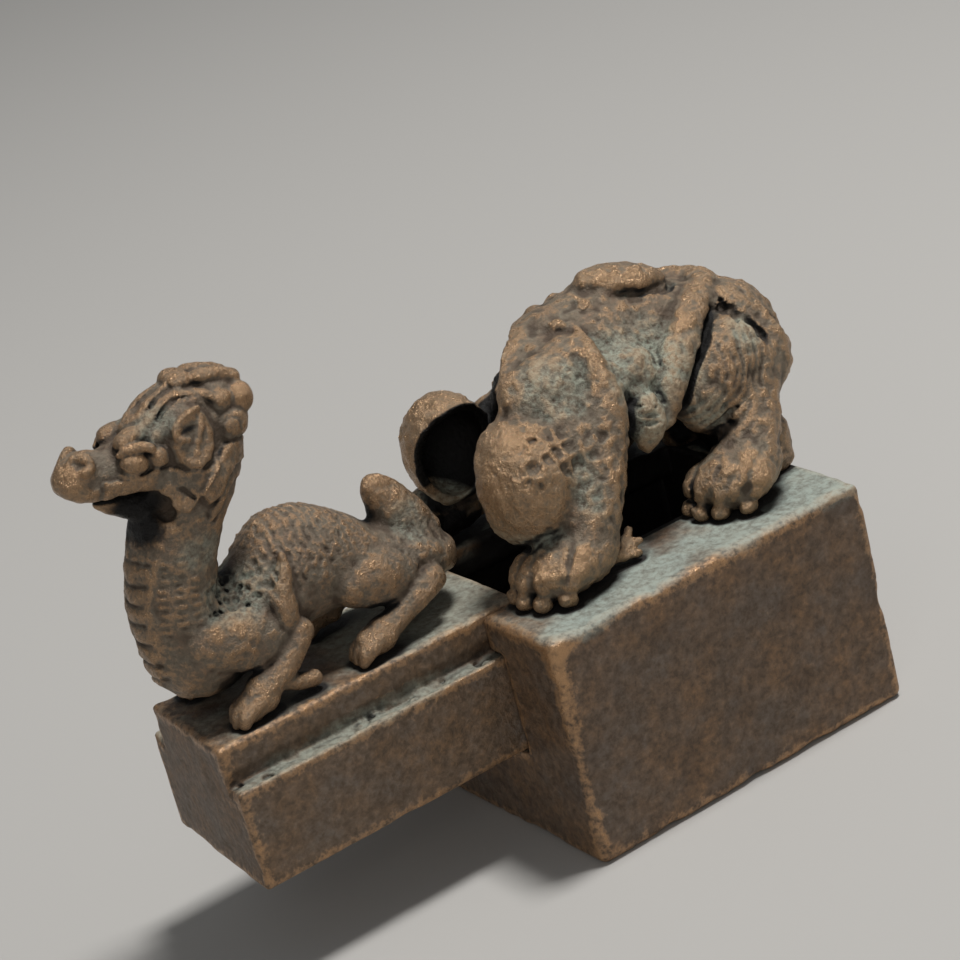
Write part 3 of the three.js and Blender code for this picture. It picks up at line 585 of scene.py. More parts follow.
def makeMother(look):
    clay = Clay(*look["space"], look["grain"])
    clay.barrel(look["trunk"])
    _, x, y, z = clay.everywhere()
    cutY, cutX = np.array(look["neckCut"]).T
    clay.field = np.maximum(clay.field, (0.75 * (np.interp(y, cutY, cutX) - x) + 0 * z).astype(np.float32))
    clay.rod(look["neckRim"], blend=0.7, both=False)
    clay.egg(*look["nearShoulder"], blend=0.8, both=False)
    clay.egg(*look["chest"], blend=0.6, both=False)
    clay.egg(*look["farShoulder"], blend=0.6, both=False)
    clay.egg(*look["rump"], blend=1.0)
    for at in look["backKnots"]:
        clay.egg(at, look["knotSize"], blend=0.25, both=False)
    for at, size in look["domes"]:
        clay.egg(at, size, blend=0.7, both=False)
    for leg in look["foreLegs"]:
        clay.rod(leg, blend=0.8, both=False)
    clay.egg(*look["armpit"], blend=0.8, both=False)
    for tendon in look["tendons"]:
        clay.rod(tendon, blend=0.3, both=False)
    clay.egg(*look["forePaw"], blend=0.6)
    paw(clay, look, "fore")
    tuft(clay, *look["foreTuft"])
    clay.egg(*look["thigh"], blend=0.25)
    clay.egg(*look["knee"], blend=0.5)
    clay.rod(look["hindLeg"], blend=0.7)
    clay.egg(*look["heel"], blend=0.4)
    clay.egg(*look["hindPaw"], blend=0.6)
    paw(clay, look, "hind")
    tuft(clay, *look["hindTuft"])
    clay.rod(look["tail"], blend=0.4, both=False)
    clay.rod(look["rumpRim"], blend=0.3)
    for curl in look["tailCurls"]:
        clay.rod(curl, blend=0.15)
    clay.rod(look["tailBand"], blend=0.2)
    for slot in look["rumpSlots"] + (look["tailEdge"],):
        clay.rod(slot, blend=0.08, carve=True)
    clay.egg(*look["backLobe"], blend=0.15, both=False)
    clay.egg(*look["lobeRoot"], blend=0.6, both=False)
    clay.rod(look["lobeCrack"], blend=0.1, carve=True)
    clay.egg(*look["flank"], blend=0.8)
    clay.rod(look["band"], blend=0.2)
    clay.rod(look["slit"], blend=0.12, carve=True, flat=look["slitAcross"])
    clay.rod(look["belly"], blend=0.25)
    for fold in look["bellyFolds"]:
        clay.rod(fold, blend=0.05, carve=True)
    fringe = look["thighFringe"]
    for i in range(fringe["count"]):
        x, y, z = fringe["from"]
        stroke = np.array(fringe["stroke"]) + (x + fringe["step"] * i, y, z, 0)
        clay.rod(stroke, blend=0.05, carve=True)

    def relief(points):
        x, _, z = points.T
        (broad, high), (fine, low) = look["skin"]
        raised = high * speckle(points, broad, 31) + low * speckle(points, fine, 32)
        first, second = cells(points, look["netCell"], 33, stray=0.2)
        net = 0.1 - 0.26 * ramp(second - first, 0.08, 0.42)
        limb = 0.35 * within(points, *look["netLimb"]) * ramp(speckle(points, 2.2, 35), -1.0, -0.2)
        raised += net * np.maximum(limb, within(points, *look["net"], 0.4))
        width, height = look["pebble"]
        first, _ = cells(points, width, 34)
        pebbles = height * (1 - ramp(first, 0.15, 0.75)) - height / 2
        coat = sum(share * within(points, at, size) for at, size, share in look["coat"])
        raised += pebbles * np.clip(coat, 0, 1) * (0.6 + 0.4 * speckle(points, 1.1, 37))
        stray = 0.3 * speckle(points, 1.3, 36)
        upper = np.sin(2 * np.pi * (x - 0.3 * z + stray) / 0.55) * within(points, *look["thighHair"])
        lower = np.sin(2 * np.pi * (z - 0.7 * x + stray) / 0.7) * within(points, *look["shankHair"])
        return raised + 0.06 * upper + 0.08 * lower

    clay.emboss(relief)
    for at, size in look["domes"]:
        clay.egg(at, np.array(size) - look["domeWall"], blend=0.1, both=False, carve=True)
    spans, x, y, z = clay.everywhere()
    clay.press(spans, tunnelWay(look["tunnel"], x, y, z), blend=0.12, carve=True)
    clay.stand()

    def paintedShadeAt(points):                             # painted shade: the tunnel, the domes' insides and the far and rear places, painted dark as if in shadow, less where grit lies
        paintedDark = 1 - ramp(tunnelWay(look["tunnel"], *points.T), 0.05, 0.3)
        for at, size in look["domes"]:
            away = np.linalg.norm((points - at) / (np.array(size) - look["domeWall"]), axis=1)
            paintedDark = np.maximum(paintedDark, 1 - ramp(away, 1.0, 1.08))
        paintedShade = np.max([within(points, at, size) for at, size in look["farPaintedShade"]], axis=0)
        paintedShade = np.maximum(paintedShade * (points[:, 1] > 0), within(points, *look["rearPaintedShade"]))
        return look["paintedShade"] * np.maximum(paintedDark, paintedShade) * (1 - 0.75 * within(points, *look["cupGrit"]))

    return cast("outerBeast", clay, look, motherPlace, "outer_seal", "outer_beast_knob",
                paintedShadeAt=paintedShadeAt)


# The inner beast: a whole little dragon-headed animal, looking ahead with its mouth open.

cub = {
    "grain": 0.117,
    "space": ((-3.4, -5.0, -0.6), (20.6, 5.0, 20.2)),           # corners of its clay
    "trunk": ((0.0, 0.5, 5.0, 4.1, 3.2), (1.0, 1.8, 5.8, 4.0, 2.1), (3.0, 2.4, 6.8, 4.2, 1.5),
              (5.6, 2.7, 7.5, 4.6, 1.9), (8.4, 3.0, 9.5, 5.6, 2.6), (11.1, 2.9, 9.2, 5.6, 2.7),
              (13.2, 2.6, 7.8, 5.0, 2.6), (14.6, 2.5, 6.5, 4.4, 2.3), (17.0, 2.7, 5.4, 3.8, 1.7),
              (18.7, 1.95, 4.2, 3.2, 1.6), (19.7, 0.4, 3.3, 3.0, 2.7)),
    "neck": ((2.7, 0, 4.2, 2.75), (2.1, 0, 6.7, 2.55), (2.6, 0, 9.0, 2.5), (3.5, 0, 11.2, 2.55),
             (5.1, 0, 13.8, 2.6)),
    "skull": ((5.5, 0, 15.9), (3.2, 2.25, 2.9), (0, 0, 0)),
    "snout": ((3.6, 0, 15.8, 2.0), (1.2, 0, 15.8, 1.5), (-0.4, 0, 16.1, 1.2)),
    "nose": ((-0.95, 0, 16.4), (1.5, 1.2, 1.0), (0, -14, 0)),
    "nostril": ((-1.5, 0.5, 17.1, 0.18), (-1.05, 0.55, 17.35, 0.26), (-0.6, 0.9, 17.2, 0.32),
                (-0.55, 1.1, 16.8, 0.32), (-0.95, 1.2, 16.6, 0.26)),
    "nostrilPit": ((-1.2, 1.05, 16.95), (0.26, 0.2, 0.11), (0, -35, 0)),
    "lip": ((-1.7, 0.35, 15.85, 0.6), (-0.8, 0.55, 15.4, 0.72), (0.6, 0.75, 15.25, 0.62),
            (2.2, 1.2, 15.15, 0.6)),
    "jaw": ((4.4, 0, 12.7, 1.75), (3.0, 0, 12.9, 1.4), (1.6, 0, 13.3, 1.0), (0.4, 0, 13.85, 0.62),
            (-0.3, 0, 14.2, 0.34)),
    "mouth": ((-0.3, 0.9, 14.5, 0.1), (0.6, 1.15, 14.3, 0.25), (1.5, 1.45, 13.9, 0.5),
              (2.3, 1.65, 13.4, 0.7), (2.5, 1.9, 12.8, 0.5)),   # hollow at the corners, closed in front
    "paintedDark": (((1.3, 1.0, 13.5), (1.9, 1.3, 1.0)), ((1.3, 0.9, 12.3), (1.5, 1.5, 1.2)),
             ((4.8, 2.8, 16.95), (0.6, 0.5, 0.2))),             # painted shade: the mouth, the throat under it and the ear, painted dark as if in shadow
    # how dark that painted shade is
    "paintedShade": 0.7,
    "eye": ((1.75, 1.5, 16.1), (0.85, 0.72, 0.72), (0, 10, 0)),
    "lid": ((1.0, 1.35, 16.75, 0.14), (1.6, 1.7, 16.95, 0.28), (2.2, 1.9, 16.9, 0.34),
            (2.65, 2.0, 16.6, 0.24)),
    "lowerLid": ((0.8, 1.5, 15.75, 0.15), (1.7, 1.85, 15.25, 0.22), (2.7, 1.95, 15.25, 0.22)),
    "eyeCorner": ((3.05, 1.75, 16.0), (0.62, 0.6, 0.62), (0, 20, 0)),
    "brow": ((2.0, 1.0, 17.2), (0.9, 0.7, 0.6), (0, -10, 0)),
    "browMiddle": ((2.75, 0, 17.55), (0.75, 0.6, 0.5), (0, -25, 0)),
    "browLocks": (((3.0, 0.5, 17.9, 0.2), (4.1, 0.5, 18.4, 0.36), (5.3, 0.5, 18.7, 0.34)),
                  ((3.0, 1.15, 17.5, 0.2), (4.1, 1.15, 17.95, 0.4), (5.3, 1.2, 18.2, 0.4),
                   (6.3, 1.3, 18.0, 0.25)),
                  ((3.2, 1.65, 16.9, 0.2), (4.0, 1.75, 17.3, 0.36), (5.0, 1.75, 17.7, 0.3))),
    "browGrooves": (((3.6, 0.85, 18.25, 0.08), (4.4, 0.85, 18.7, 0.16), (5.2, 0.8, 18.95, 0.16),
                     (5.9, 1.0, 18.95, 0.1)),
                    ((3.7, 1.5, 17.75, 0.08), (4.5, 1.5, 18.3, 0.16), (5.2, 1.5, 18.4, 0.16),
                     (6.0, 1.6, 18.2, 0.1)),
                    ((3.4, 0.2, 18.3, 0.08), (4.5, 0.15, 18.9, 0.14), (5.6, 0.15, 19.1, 0.1))),
    "crownBase": ((7.7, 0, 17.6), (1.7, 1.5, 1.2), (0, 20, 0)),
    "crown": (((5.95, 0.35, 18.9), (0.8, 0.7, 0.55), (0, 10, 0)),
              ((8.7, 1.2, 16.95), (0.9, 0.85, 0.9), (0, 0, 0)),
              ((7.5, 1.3, 17.3), (0.8, 0.75, 0.75), (0, 20, 0)),
              ((7.6, 1.35, 15.9), (1.25, 0.95, 1.1), (0, 0, 0))),
    "crownRolls": (((6.9, 0.75, 18.85, 0.42), (8.0, 0.75, 18.5, 0.48), (8.9, 0.75, 18.05, 0.44)),
                   ((6.0, 1.15, 18.3, 0.22), (6.6, 1.35, 18.05, 0.32), (7.0, 1.65, 17.75, 0.22))),
    "curl": {"at": (7.5, 2.2, 15.9), "radius": 0.55, "groove": 0.13, "sweep": (-0.5, 4.2)},
    "earHook": ((5.8, 2.35, 17.75, 0.14), (5.0, 2.5, 17.75, 0.2), (4.35, 2.45, 17.4, 0.24),
                (4.05, 2.5, 16.9, 0.24), (4.25, 2.6, 16.55, 0.26), (4.65, 2.65, 16.4, 0.2)),
    "earSlot": ((4.35, 2.85, 16.98, 0.12), (4.8, 2.8, 17.02, 0.26), (5.45, 2.75, 17.2, 0.12)),
    "earRidge": ((5.85, 2.45, 17.4, 0.12), (5.45, 2.65, 16.65, 0.2), (4.85, 2.7, 15.8, 0.2),
                 (4.65, 2.65, 15.2, 0.12)),
    "cheek": ((4.6, 1.3, 14.2), (1.9, 0.95, 1.3), (0, 0, 0)),
    "cheekSlit": ((2.9, 2.2, 14.05, 0.06), (3.5, 2.55, 13.95, 0.13), (4.0, 2.65, 13.25, 0.07)),
    "beard": (((2.5, 1.4, 12.9, 0.35), (3.5, 1.9, 12.4, 0.5), (4.4, 2.2, 11.4, 0.28)),
              ((2.0, 1.2, 12.3, 0.4), (2.8, 1.85, 11.7, 0.55), (3.6, 2.25, 10.8, 0.28)),
              ((1.6, 0.6, 11.9, 0.5), (1.8, 1.2, 11.2, 0.5), (2.5, 1.9, 10.5, 0.28))),
    "plates": {                                     # chased on the side of the head: outline, height, edge
        "ear": (((5.8, 17.8), (4.95, 17.88), (4.34, 17.58), (3.93, 17.05), (3.68, 16.39), (3.79, 15.43),
                 (4.24, 14.85), (4.75, 14.67), (5.53, 14.93), (5.99, 15.4), (6.25, 16.21), (6.13, 17.26)),
                0.5, 0.26),
        "cheek flap": (((-0.2, 15.7), (0.78, 15.49), (1.99, 15.22), (2.69, 15.29), (3.4, 15.25),
                        (3.75, 15.1), (4.04, 14.82), (4.5, 14.66), (5.01, 14.52), (5.61, 14.67),
                        (6.0, 15.0), (5.81, 14.45), (5.04, 13.85), (4.2, 13.1), (3.5, 12.6), (3.0, 12.8),
                        (2.75, 13.15), (2.5, 13.8), (1.5, 14.35), (0.5, 14.6), (-0.4, 14.7)), 0.3, 0.09),
        "upper mane": (((8.4, 14.9), (7.19, 15.12), (6.58, 15.13), (5.81, 14.6), (5.04, 14.01), (4.4, 13.3),
                        (4.66, 12.6), (5.55, 12.77), (6.16, 13.51), (7.1, 13.87), (8.2, 13.5)), 0.42, 0.09),
        "middle mane": (((8.2, 13.5), (7.1, 13.87), (6.16, 13.51), (5.55, 12.77), (4.66, 12.1), (4.5, 11.6),
                         (5.32, 11.9), (6.11, 12.79), (6.86, 13.08), (8.0, 12.4)), 0.28, 0.09),
        "lower mane": (((8.0, 12.4), (6.86, 13.08), (6.11, 12.79), (5.32, 11.88), (4.6, 11.2), (4.8, 10.6),
                        (5.6, 11.2), (6.5, 12.0), (7.6, 11.5)), 0.15, 0.09),
    },
    "upperArm": ((4.6, 2.3, 4.3), (3.6, 1.3, 1.8), (0, 17, 0)),
    "foreArm": ((7.5, 2.7, 3.4, 0.95), (5.8, 3.0, 2.05, 0.9), (4.2, 3.1, 1.4, 0.9)),
    "forePaw": ((4.3, 3.1, 1.0, 0.95), (3.3, 3.15, 0.8, 0.85)),
    "foreToes": ((2.5, 2.6), (2.3, 3.2), (2.5, 3.75)),
    "dewClaw": ((5.5, 3.1, 1.4, 0.5), (6.5, 3.25, 0.95, 0.5), (7.5, 3.25, 0.7, 0.45)),
    "flame": ((8.0, 2.45, 7.8, 0.3), (7.7, 2.55, 6.9, 0.55), (7.2, 2.6, 5.7, 0.85), (7.0, 2.75, 4.6, 0.8)),
    "haunch": ((13.2, 2.2, 4.1), (2.9, 1.3, 1.7), (0, 12, 0)),
    "shank": ((16.4, 2.6, 2.7, 0.95), (13.9, 3.0, 1.75, 0.75), (12.4, 3.1, 1.3, 0.85)),
    "hindFoot": ((12.2, 3.1, 1.1, 0.95), (11.4, 3.15, 1.0, 0.85)),
    "hindToes": ((10.5, 2.6), (10.4, 3.15), (10.5, 3.7)),
    "toe": ((1.2, 1.15, 0.46), (0.4, 0.8, 0.5), (0, 0.35, 0.34)),       # back from the tip, height, radius
    "polish": (((16.0, 0.6, 8.3), (0.9, 1.2, 1.1)), ((12.4, 3.0, 5.4), (1.4, 0.8, 1.0)),
               ((3.2, 3.4, 5.2), (1.4, 0.9, 0.9)), ((-1.8, 0.7, 16.5), (0.9, 1.0, 0.6)),
               ((1.9, 2.1, 16.6), (0.7, 0.6, 0.8)), ((8.6, 1.8, 17.4), (0.8, 0.8, 0.7))),
    "bloom": (((5.0, 2.2, 6.9), (2.6, 2.0, 1.6)), ((3.6, 1.5, 17.6), (1.3, 1.2, 1.0)),
              ((16.8, 1.5, 6.0), (1.2, 1.6, 1.4)), ((3.4, 2.2, 10.2), (1.6, 1.2, 1.2))),
    "tailLobe": ((17.2, 0, 4.4, 1.9), (16.6, 0, 6.1, 1.6), (16.0, 0, 7.5, 1.1), (15.75, 0, 8.1, 0.85)),
    "skin": ((1.0, 0.07), (0.4, 0.055)),                        # width and height of the cast roughness
    "throat": (1.15, 0.22),                                     # pitch and height of the throat's plates
    "ridge": (28, 0.13),                                        # degrees from the throat, and height
    "bars": (0.5, 0.11),                                        # pitch and height of the rungs on the neck
    "scales": (0.56, 0.54),                                     # pitch and width on back and tail
    "back": ((10.0, 1.5, 8.0), (4.2, 2.6, 2.6)),                # where they lie
    "tailRoot": ((17.0, 1.6, 4.6), (2.4, 2.2, 2.0)),
    "stipple": ((5.2, 2.0, 7.0), (2.6, 1.6, 1.3)),              # punched dots behind the shoulder
}


def makeCubHead(clay, look):
    clay.egg(*look["skull"], blend=0.8, both=False)
    clay.rod(look["snout"], blend=0.5, both=False, flat=((0, 0, 1), 0.85))
    clay.egg(*look["nose"], blend=0.3, both=False)
    clay.rod(look["lip"], blend=0.35)
    clay.rod(look["jaw"], blend=0.15, both=False, flat=((0, 0, 1), 0.8))
    clay.egg(*look["cheek"], blend=0.3)
    clay.egg(*look["brow"], blend=0.2)
    clay.egg(*look["browMiddle"], blend=0.2, both=False)
    for lock in look["browLocks"]:
        clay.rod(lock, blend=0.5)
    for lock in look["beard"]:
        clay.rod(lock, blend=0.2)

    def chased(points):
        rows = look["plates"].values()
        heights = [height * plate(points, outline, edge) for outline, height, edge in rows]
        return np.sum(heights, axis=0) * ramp(np.abs(points[:, 1]), 0.7, 1.2)

    clay.emboss(chased, reach=0.9)
    clay.rod(look["mouth"], blend=0.1, carve=True)
    clay.rod(look["nostril"], blend=0.1)
    clay.egg(*look["nostrilPit"], blend=0.05, carve=True)
    clay.egg(*look["eyeCorner"], blend=0.06)
    clay.egg(*look["eye"], blend=0.04)
    clay.rod(look["lid"], blend=0.05)
    clay.rod(look["lowerLid"], blend=0.08)
    for groove in look["browGrooves"]:
        clay.rod(groove, blend=0.08, carve=True)
    clay.egg(*look["crownBase"], blend=0.3, both=False)
    for knob in look["crown"]:
        clay.egg(*knob, blend=0.08)
    for roll in look["crownRolls"]:
        clay.rod(roll, blend=0.08)
    curl = look["curl"]
    (x, y, z), radius = curl["at"], curl["radius"]
    clay.rod([(x + radius * math.cos(angle), y, z + radius * math.sin(angle), curl["groove"])
              for angle in np.linspace(*curl["sweep"], 8)], blend=0.08, carve=True, steps=2)
    clay.rod(look["earHook"], blend=0.1)
    clay.rod(look["earRidge"], blend=0.15)
    clay.rod(look["earSlot"], blend=0.08, carve=True)
    clay.rod(look["cheekSlit"], blend=0.06, carve=True)


def makeCub(look):
    clay = Clay(*look["space"], look["grain"])
    clay.barrel(look["trunk"])
    clay.rod(look["neck"], blend=1.0, both=False)
    makeCubHead(clay, look)
    clay.egg(*look["upperArm"], blend=0.2)
    clay.rod(look["foreArm"], blend=0.25)
    clay.rod(look["forePaw"], blend=0.3)
    clay.rod(look["dewClaw"], blend=0.15)
    clay.egg(*look["haunch"], blend=0.2)
    clay.rod(look["shank"], blend=0.3)
    clay.rod(look["hindFoot"], blend=0.2)
    for x, y in look["foreToes"] + look["hindToes"]:
        clay.rod([(x + back, y, height, radius) for back, height, radius in look["toe"]], blend=0.06)
    clay.rod(look["tailLobe"], blend=0.6, both=False, flat=((0, 1, 0), 0.85))
    clay.rod(look["flame"], blend=0.15)
    spine = np.array(look["neck"])[:, (0, 2)]

    def relief(points):
        x, y, z = points.T
        side = np.abs(y)
        (broad, high), (fine, low) = look["skin"]
        raised = high * speckle(points, broad, 41) + low * speckle(points, fine, 42)
        ahead = np.interp(z, spine[:, 1], spine[:, 0]) - x      # in front of the neck's middle line
        around = np.degrees(np.arctan2(side, ahead))            # 0 at the throat, 180 at the nape
        onNeck = (1 - ramp(z, 10.2, 10.9)) * (1 - ramp(np.hypot(side, ahead), 3.0, 3.4)) * ramp(z, 2.8, 4.2)
        pitch, height = look["throat"]
        wave = np.abs(2 * ((z / pitch + 0.12 * speckle(points, 1.5, 43)) % 1) - 1)
        plates = height * (1 - wave ** 4) - height / 2
        ridgeAt, height = look["ridge"]
        ridge = ridgeAt + 2.2 * ramp(z, 7.0, 11.0) * 6          # wider apart higher up
        raised += plates * onNeck * (1 - ramp(around - ridge, -8, -2))
        raised += height * np.exp(-((around - ridge) / 6) ** 2) * onNeck
        pitch, height = look["bars"]
        bars = np.sin(2 * np.pi * (z + 0.25 * x + 0.12 * speckle(points, 0.8, 44)) / pitch)
        bars *= (0.5 + 0.5 * np.sin(2 * np.pi * around / 22)) * (0.6 + 0.4 * speckle(points, 1.2, 46))
        onSide = ramp(around - ridge, 6, 12) * (1 - ramp(around, 85, 105))
        raised += height * bars * onNeck * ramp(z, 5.0, 6.6) * onSide
        turn = np.arctan2(side, z - 4.6) * 3.3                  # mm round the trunk
        rows = shingles(-x + 0.25 * speckle(points, 0.7, 45), turn, *look["scales"])
        rows = rows * (0.7 + 0.3 * speckle(points, 1.0, 47))
        hump = within(points, *look["back"]) + 0.7 * within(points, *look["tailRoot"])
        raised += (0.2 * rows - 0.1) * np.clip(hump, 0, 1)
        first, _ = cells(points, 0.5, 48)
        raised -= 0.24 * (1 - ramp(first, 0.15, 0.6)) * within(points, *look["stipple"])
        return raised

    clay.emboss(relief)
    clay.stand()

    def paintedShadeAt(points):
        # painted shade in the mouth, on the throat under it and in the ear
        return look["paintedShade"] * np.max([within(points, at, size, 0.4) for at, size in look["paintedDark"]], axis=0)

    return cast("innerBeast", clay, look, cubPlace, "inner_seal", "inner_beast_knob",
                paintedShadeAt=paintedShadeAt)


# Cast bronze, aged: brown oxide, rubbed coppery on high spots, pale green verdigris in sheltered places,
# darkened there by grime and painted shade.

def linear(code):                                   # an sRGB hex colour as linear RGBA
    channels = [int(code[i:i + 2], 16) / 255 for i in (1, 3, 5)]
    return [c / 12.92 if c <= 0.04045 else ((c + 0.055) / 1.055) ** 2.4 for c in channels] + [1.0]


def addNode(tree, kind, settings=None, links=None):
    node = tree.nodes.new(kind)
    for name, value in (settings or {}).items():
        if isinstance(name, str) and hasattr(node, name):
            setattr(node, name, value)
        else:
            node.inputs[name].default_value = value
    for name, source in (links or {}).items():
        tree.links.new(source, node.inputs[name])
    return node


def agedBronze(name, look):                         # dull brown metal with grey bloom, gleams and verdigris, darkened by grime, painted shade and painted shadow
    material = bpy.data.materials.new(name)
    material.use_nodes = True
    tree = material.node_tree
    shader = tree.nodes["Principled BSDF"]
    place = addNode(tree, "ShaderNodeTexCoord").outputs["Object"]
    wear, shelterAndShade, bloom = (addNode(tree, "ShaderNodeAttribute", {"attribute_name": label}).outputs["Fac"]
                            for label in ("wear", "shelterAndShade", "bloom"))
    clouds, patches, fine = (
        addNode(tree, "ShaderNodeTexNoise",
                {"Scale": 1 / (look[size] * mm), "Detail": 5.0, "Roughness": 0.68},
                {"Vector": place}).outputs["Fac"] for size in ("clouds", "patch", "fine"))
    cloudy = addNode(tree, "ShaderNodeMapRange", {"From Min": 0.38, "From Max": 0.62},
                     {"Value": clouds}).outputs[0]
    grainy = addNode(tree, "ShaderNodeMapRange", {"From Min": 0.36, "From Max": 0.66},
                     {"Value": fine}).outputs[0]
    # Rubbed: high spots, broken up by the grain. Grooves are the low spots, and they are darkened as grime
    # and painted shade.
    spots = addNode(tree, "ShaderNodeMath", {"operation": "MULTIPLY_ADD", 1: 0.5},
                    {0: grainy, 2: wear}).outputs[0]
    rubbed = addNode(tree, "ShaderNodeMapRange", {"From Min": look["rub"][0], "From Max": look["rub"][1]},
                     {"Value": spots}).outputs[0]
    groove = addNode(tree, "ShaderNodeMapRange",
                     {"From Min": 0.45, "From Max": 0.1, "To Max": look["groove"]},
                     {"Value": wear}).outputs[0]
    # Verdigris: in patches, thickest where it bloomed and on what faces up.
    facing = addNode(tree, "ShaderNodeNewGeometry").outputs["Normal"]
    upward = addNode(tree, "ShaderNodeSeparateXYZ", {}, {0: facing}).outputs["Z"]
    damp = addNode(tree, "ShaderNodeMapRange", {"From Min": 0.4, "From Max": 1.0, "To Max": look["onTop"]},
                   {"Value": upward}).outputs[0]
    for amount, source in ((0.9, patches), (0.4, bloom), (0.25, shelterAndShade)):
        damp = addNode(tree, "ShaderNodeMath", {"operation": "MULTIPLY_ADD", 1: amount},
                       {0: source, 2: damp}).outputs[0]
    thin, thick = look["verdigris"]
    damp = addNode(tree, "ShaderNodeMapRange", {"From Min": thin, "From Max": thick},
                   {"Value": damp}).outputs[0]
    crust = addNode(tree, "ShaderNodeMapRange",
                    {"From Min": look["lace"], "From Max": 0.6, "To Max": look["crust"]},
                    {"Value": fine}).outputs[0]
    green = addNode(tree, "ShaderNodeMath", {"operation": "MULTIPLY"}, {0: damp, 1: crust}).outputs[0]
    # Grime and painted shade darken sheltered places and grooves, and the deepest places are painted near
    # black as shadow.
    grimeAndShade = addNode(tree, "ShaderNodeMapRange", {"From Min": 0.1, "From Max": 0.45, "To Max": 0.8},
                   {"Value": shelterAndShade}).outputs[0]
    grimeAndShade = addNode(tree, "ShaderNodeMath", {"operation": "MAXIMUM"}, {0: grimeAndShade, 1: groove}).outputs[0]
    # painted shadow: near black where the shelter is deepest, which takes in the insides painted dark
    deep = addNode(tree, "ShaderNodeMapRange", {"From Min": 0.36, "From Max": 0.7},
                   {"Value": shelterAndShade}).outputs[0]
    colour = addNode(tree, "ShaderNodeMix",
                     {"data_type": "RGBA", 6: linear(look["brown"]), 7: linear(look["grey"])},
                     {0: cloudy}).outputs[2]
    colour = addNode(tree, "ShaderNodeMix", {"data_type": "RGBA", 6: linear(look["film"])},
                     {0: grainy, 7: colour}).outputs[2]
    for layer, share in (("grimeAndShade", grimeAndShade), ("copper", rubbed), ("green", green), ("paintedShadowBlack", deep)):
        colour = addNode(tree, "ShaderNodeMix", {"data_type": "RGBA", 7: linear(look[layer])},
                         {0: share, 6: colour}).outputs[2]
    finishes = [colour]
    for (dull, bright), crusted in ((look["metal"], 0.0), (look["rough"], 0.9)):
        finish = addNode(tree, "ShaderNodeMapRange", {"To Min": dull, "To Max": bright},
                         {"Value": rubbed}).outputs[0]
        finishes.append(addNode(tree, "ShaderNodeMix", {"data_type": "FLOAT", 3: crusted},
                                {0: green, 2: finish}).outputs[0])
    bump = addNode(tree, "ShaderNodeBump", {"Distance": look["bump"] * mm}, {"Height": fine})
    sockets = ("Base Color", "Metallic", "Roughness", "Normal")
    for socket, source in zip(sockets, finishes + [bump.outputs[0]]):
        tree.links.new(source, shader.inputs[socket])
    return material


bronzes = {                                         # clouds, fine, patch and bump are sizes in mm
    # the dark brown mixed in is grime and painted shade; the near black is painted shadow
    "outerBlock": {"brown": "#8c6c4e", "grey": "#75675b", "film": "#574636", "copper": "#b68e66",
                   "green": "#a6b2a8", "grimeAndShade": "#463629", "paintedShadowBlack": "#1c1814",
                   "clouds": 3.2, "fine": 0.45, "patch": 3.0, "rub": (1.0, 1.5), "onTop": 0.24,
                   "verdigris": (0.62, 1.0), "crust": 0.8, "lace": 0.15, "metal": (0.2, 0.5),
                   "rough": (0.54, 0.24), "groove": 0.15, "bump": 0.12},
    "innerBlock": {"brown": "#8b6d50", "grey": "#7b6e62", "film": "#5d4c3b", "copper": "#b68e66",
                   "green": "#a0a597", "grimeAndShade": "#463629", "paintedShadowBlack": "#1c1814",
                   "clouds": 2.6, "fine": 0.4, "patch": 1.8, "rub": (1.0, 1.5), "onTop": 0.2,
                   "verdigris": (0.64, 1.0), "crust": 0.75, "lace": 0.2, "metal": (0.2, 0.5),
                   "rough": (0.54, 0.24), "groove": 0.15, "bump": 0.12},
    "outerBeast": {"brown": "#8c735d", "grey": "#8b806e", "film": "#756856", "copper": "#b59370",
                   "green": "#b0b6a4", "grimeAndShade": "#46372a", "paintedShadowBlack": "#14110e",
                   "clouds": 1.6, "fine": 0.32, "patch": 1.8, "rub": (0.86, 1.4), "onTop": 0.06,
                   "verdigris": (0.6, 1.0), "crust": 0.8, "lace": 0.36, "metal": (0.25, 0.7),
                   "rough": (0.54, 0.24), "groove": 0.75, "bump": 0.2},
    "innerBeast": {"brown": "#866e59", "grey": "#857b6b", "film": "#6e6252", "copper": "#af8d6b",
                   "green": "#a2a898", "grimeAndShade": "#46372a", "paintedShadowBlack": "#14110e",
                   "clouds": 1.4, "fine": 0.28, "patch": 1.6, "rub": (0.86, 1.4), "onTop": 0.0,
                   "verdigris": (0.6, 1.0), "crust": 0.75, "lace": 0.36, "metal": (0.25, 0.7),
                   "rough": (0.54, 0.24), "groove": 0.75, "bump": 0.18},
}

outerBeast, motherClay = makeMother(mother)
innerBeast, cubClay = makeCub(cub)
outerSeal, _ = makeOuterBlock(outerBlock, motherClay)
innerSeal, _ = makeInnerBlock(innerBlock, cubClay)
for piece in (outerBeast, innerBeast, outerSeal, innerSeal):
    piece.data.materials.append(agedBronze("aged cast bronze, " + piece.name, bronzes[piece.name]))
print("bronze aged")


# A pale table, soft studio light and the photograph's camera.

stage = {
    "table": ("#b9b6b1", 0.85),                     # colour and roughness
    "tableSide": 1.6,                               # metres, like the places below
    "world": ("#d8dce0", 0.22),
    "aim": (-0.006, 0, 0.014),                      # what the lights point at
    "lights": (                                     # name, place, side, watts
        ("overhead softbox", (0.1, -0.03, 0.42), 0.08, 1.6),
        ("front fill", (-0.3, -0.42, 0.25), 0.3, 0.4),
    ),
}


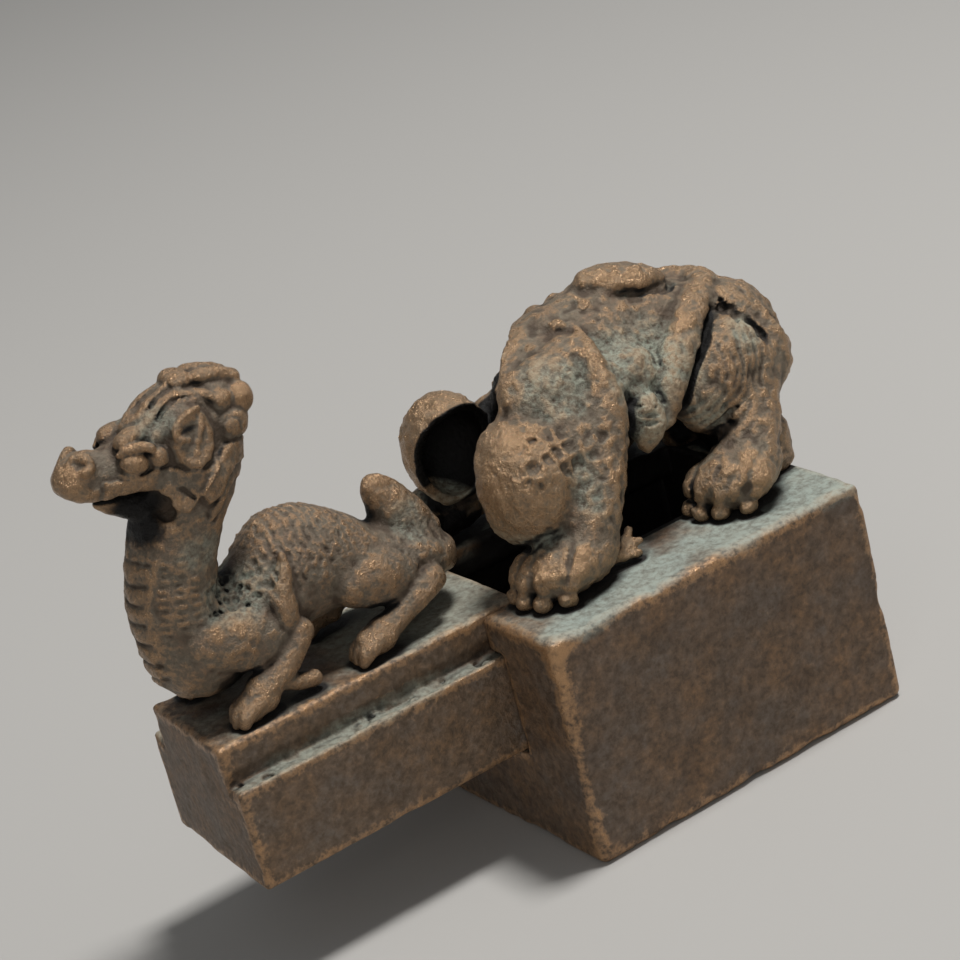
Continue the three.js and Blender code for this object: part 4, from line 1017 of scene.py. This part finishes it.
def makeStage(look):
    half = look["tableSide"] / 2
    corners = [(-half, -half, 0), (half, -half, 0), (half, half, 0), (-half, half, 0)]
    mesh = bpy.data.meshes.new("table")
    mesh.from_pydata(corners, [], [(0, 1, 2, 3)])
    table = bpy.data.objects.new("table", mesh)
    bpy.context.scene.collection.objects.link(table)
    paper = bpy.data.materials.new("matt grey paper")
    paper.use_nodes = True
    shader = paper.node_tree.nodes["Principled BSDF"]
    colour, roughness = look["table"]
    shader.inputs["Base Color"].default_value = linear(colour)
    shader.inputs["Roughness"].default_value = roughness
    mesh.materials.append(paper)
    world = bpy.data.worlds.new("studio")
    world.use_nodes = True
    colour, strength = look["world"]
    world.node_tree.nodes["Background"].inputs["Color"].default_value = linear(colour)
    world.node_tree.nodes["Background"].inputs["Strength"].default_value = strength
    bpy.context.scene.world = world
    for name, place, side, watts in look["lights"]:
        lamp = bpy.data.lights.new(name, "AREA")
        lamp.size = side
        lamp.energy = watts
        light = bpy.data.objects.new(name, lamp)
        light.location = place
        light.rotation_mode = "QUATERNION"
        light.rotation_quaternion = (Vector(look["aim"]) - Vector(place)).to_track_quat("-Z", "Y")
        bpy.context.scene.collection.objects.link(light)
    print("stage set")


camera = {
    "eye": (-81.137, -135.987, 82.398),             # mm
    "azimuth": -28.685,
    "elevation": 21.961,
    "roll": -14.595,                                # the seal is tipped on its front edge in the picture
    "lens": 107.86,
    "sensor": 36,
}


def makeCamera(look):
    azimuth, elevation, roll = (math.radians(look[key]) for key in ("azimuth", "elevation", "roll"))
    back = Vector((math.sin(azimuth) * math.cos(elevation), -math.cos(azimuth) * math.cos(elevation),
                   math.sin(elevation)))
    level = Vector((math.cos(azimuth), math.sin(azimuth), 0))
    rise = back.cross(level)
    right = level * math.cos(roll) + rise * math.sin(roll)
    up = back.cross(right)
    data = bpy.data.cameras.new("camera")
    data.lens = look["lens"]
    data.sensor_width = look["sensor"]
    data.clip_start = 0.01                          # metres, as the seal is close
    body = bpy.data.objects.new("camera", data)
    turn = Matrix((right, up, back)).transposed().to_4x4()
    body.matrix_world = Matrix.Translation(Vector(look["eye"]) * mm) @ turn
    bpy.context.scene.collection.objects.link(body)
    bpy.context.scene.camera = body
    print("camera set")


makeStage(stage)
makeCamera(camera)
bpy.context.scene.view_settings.view_transform = "Standard"
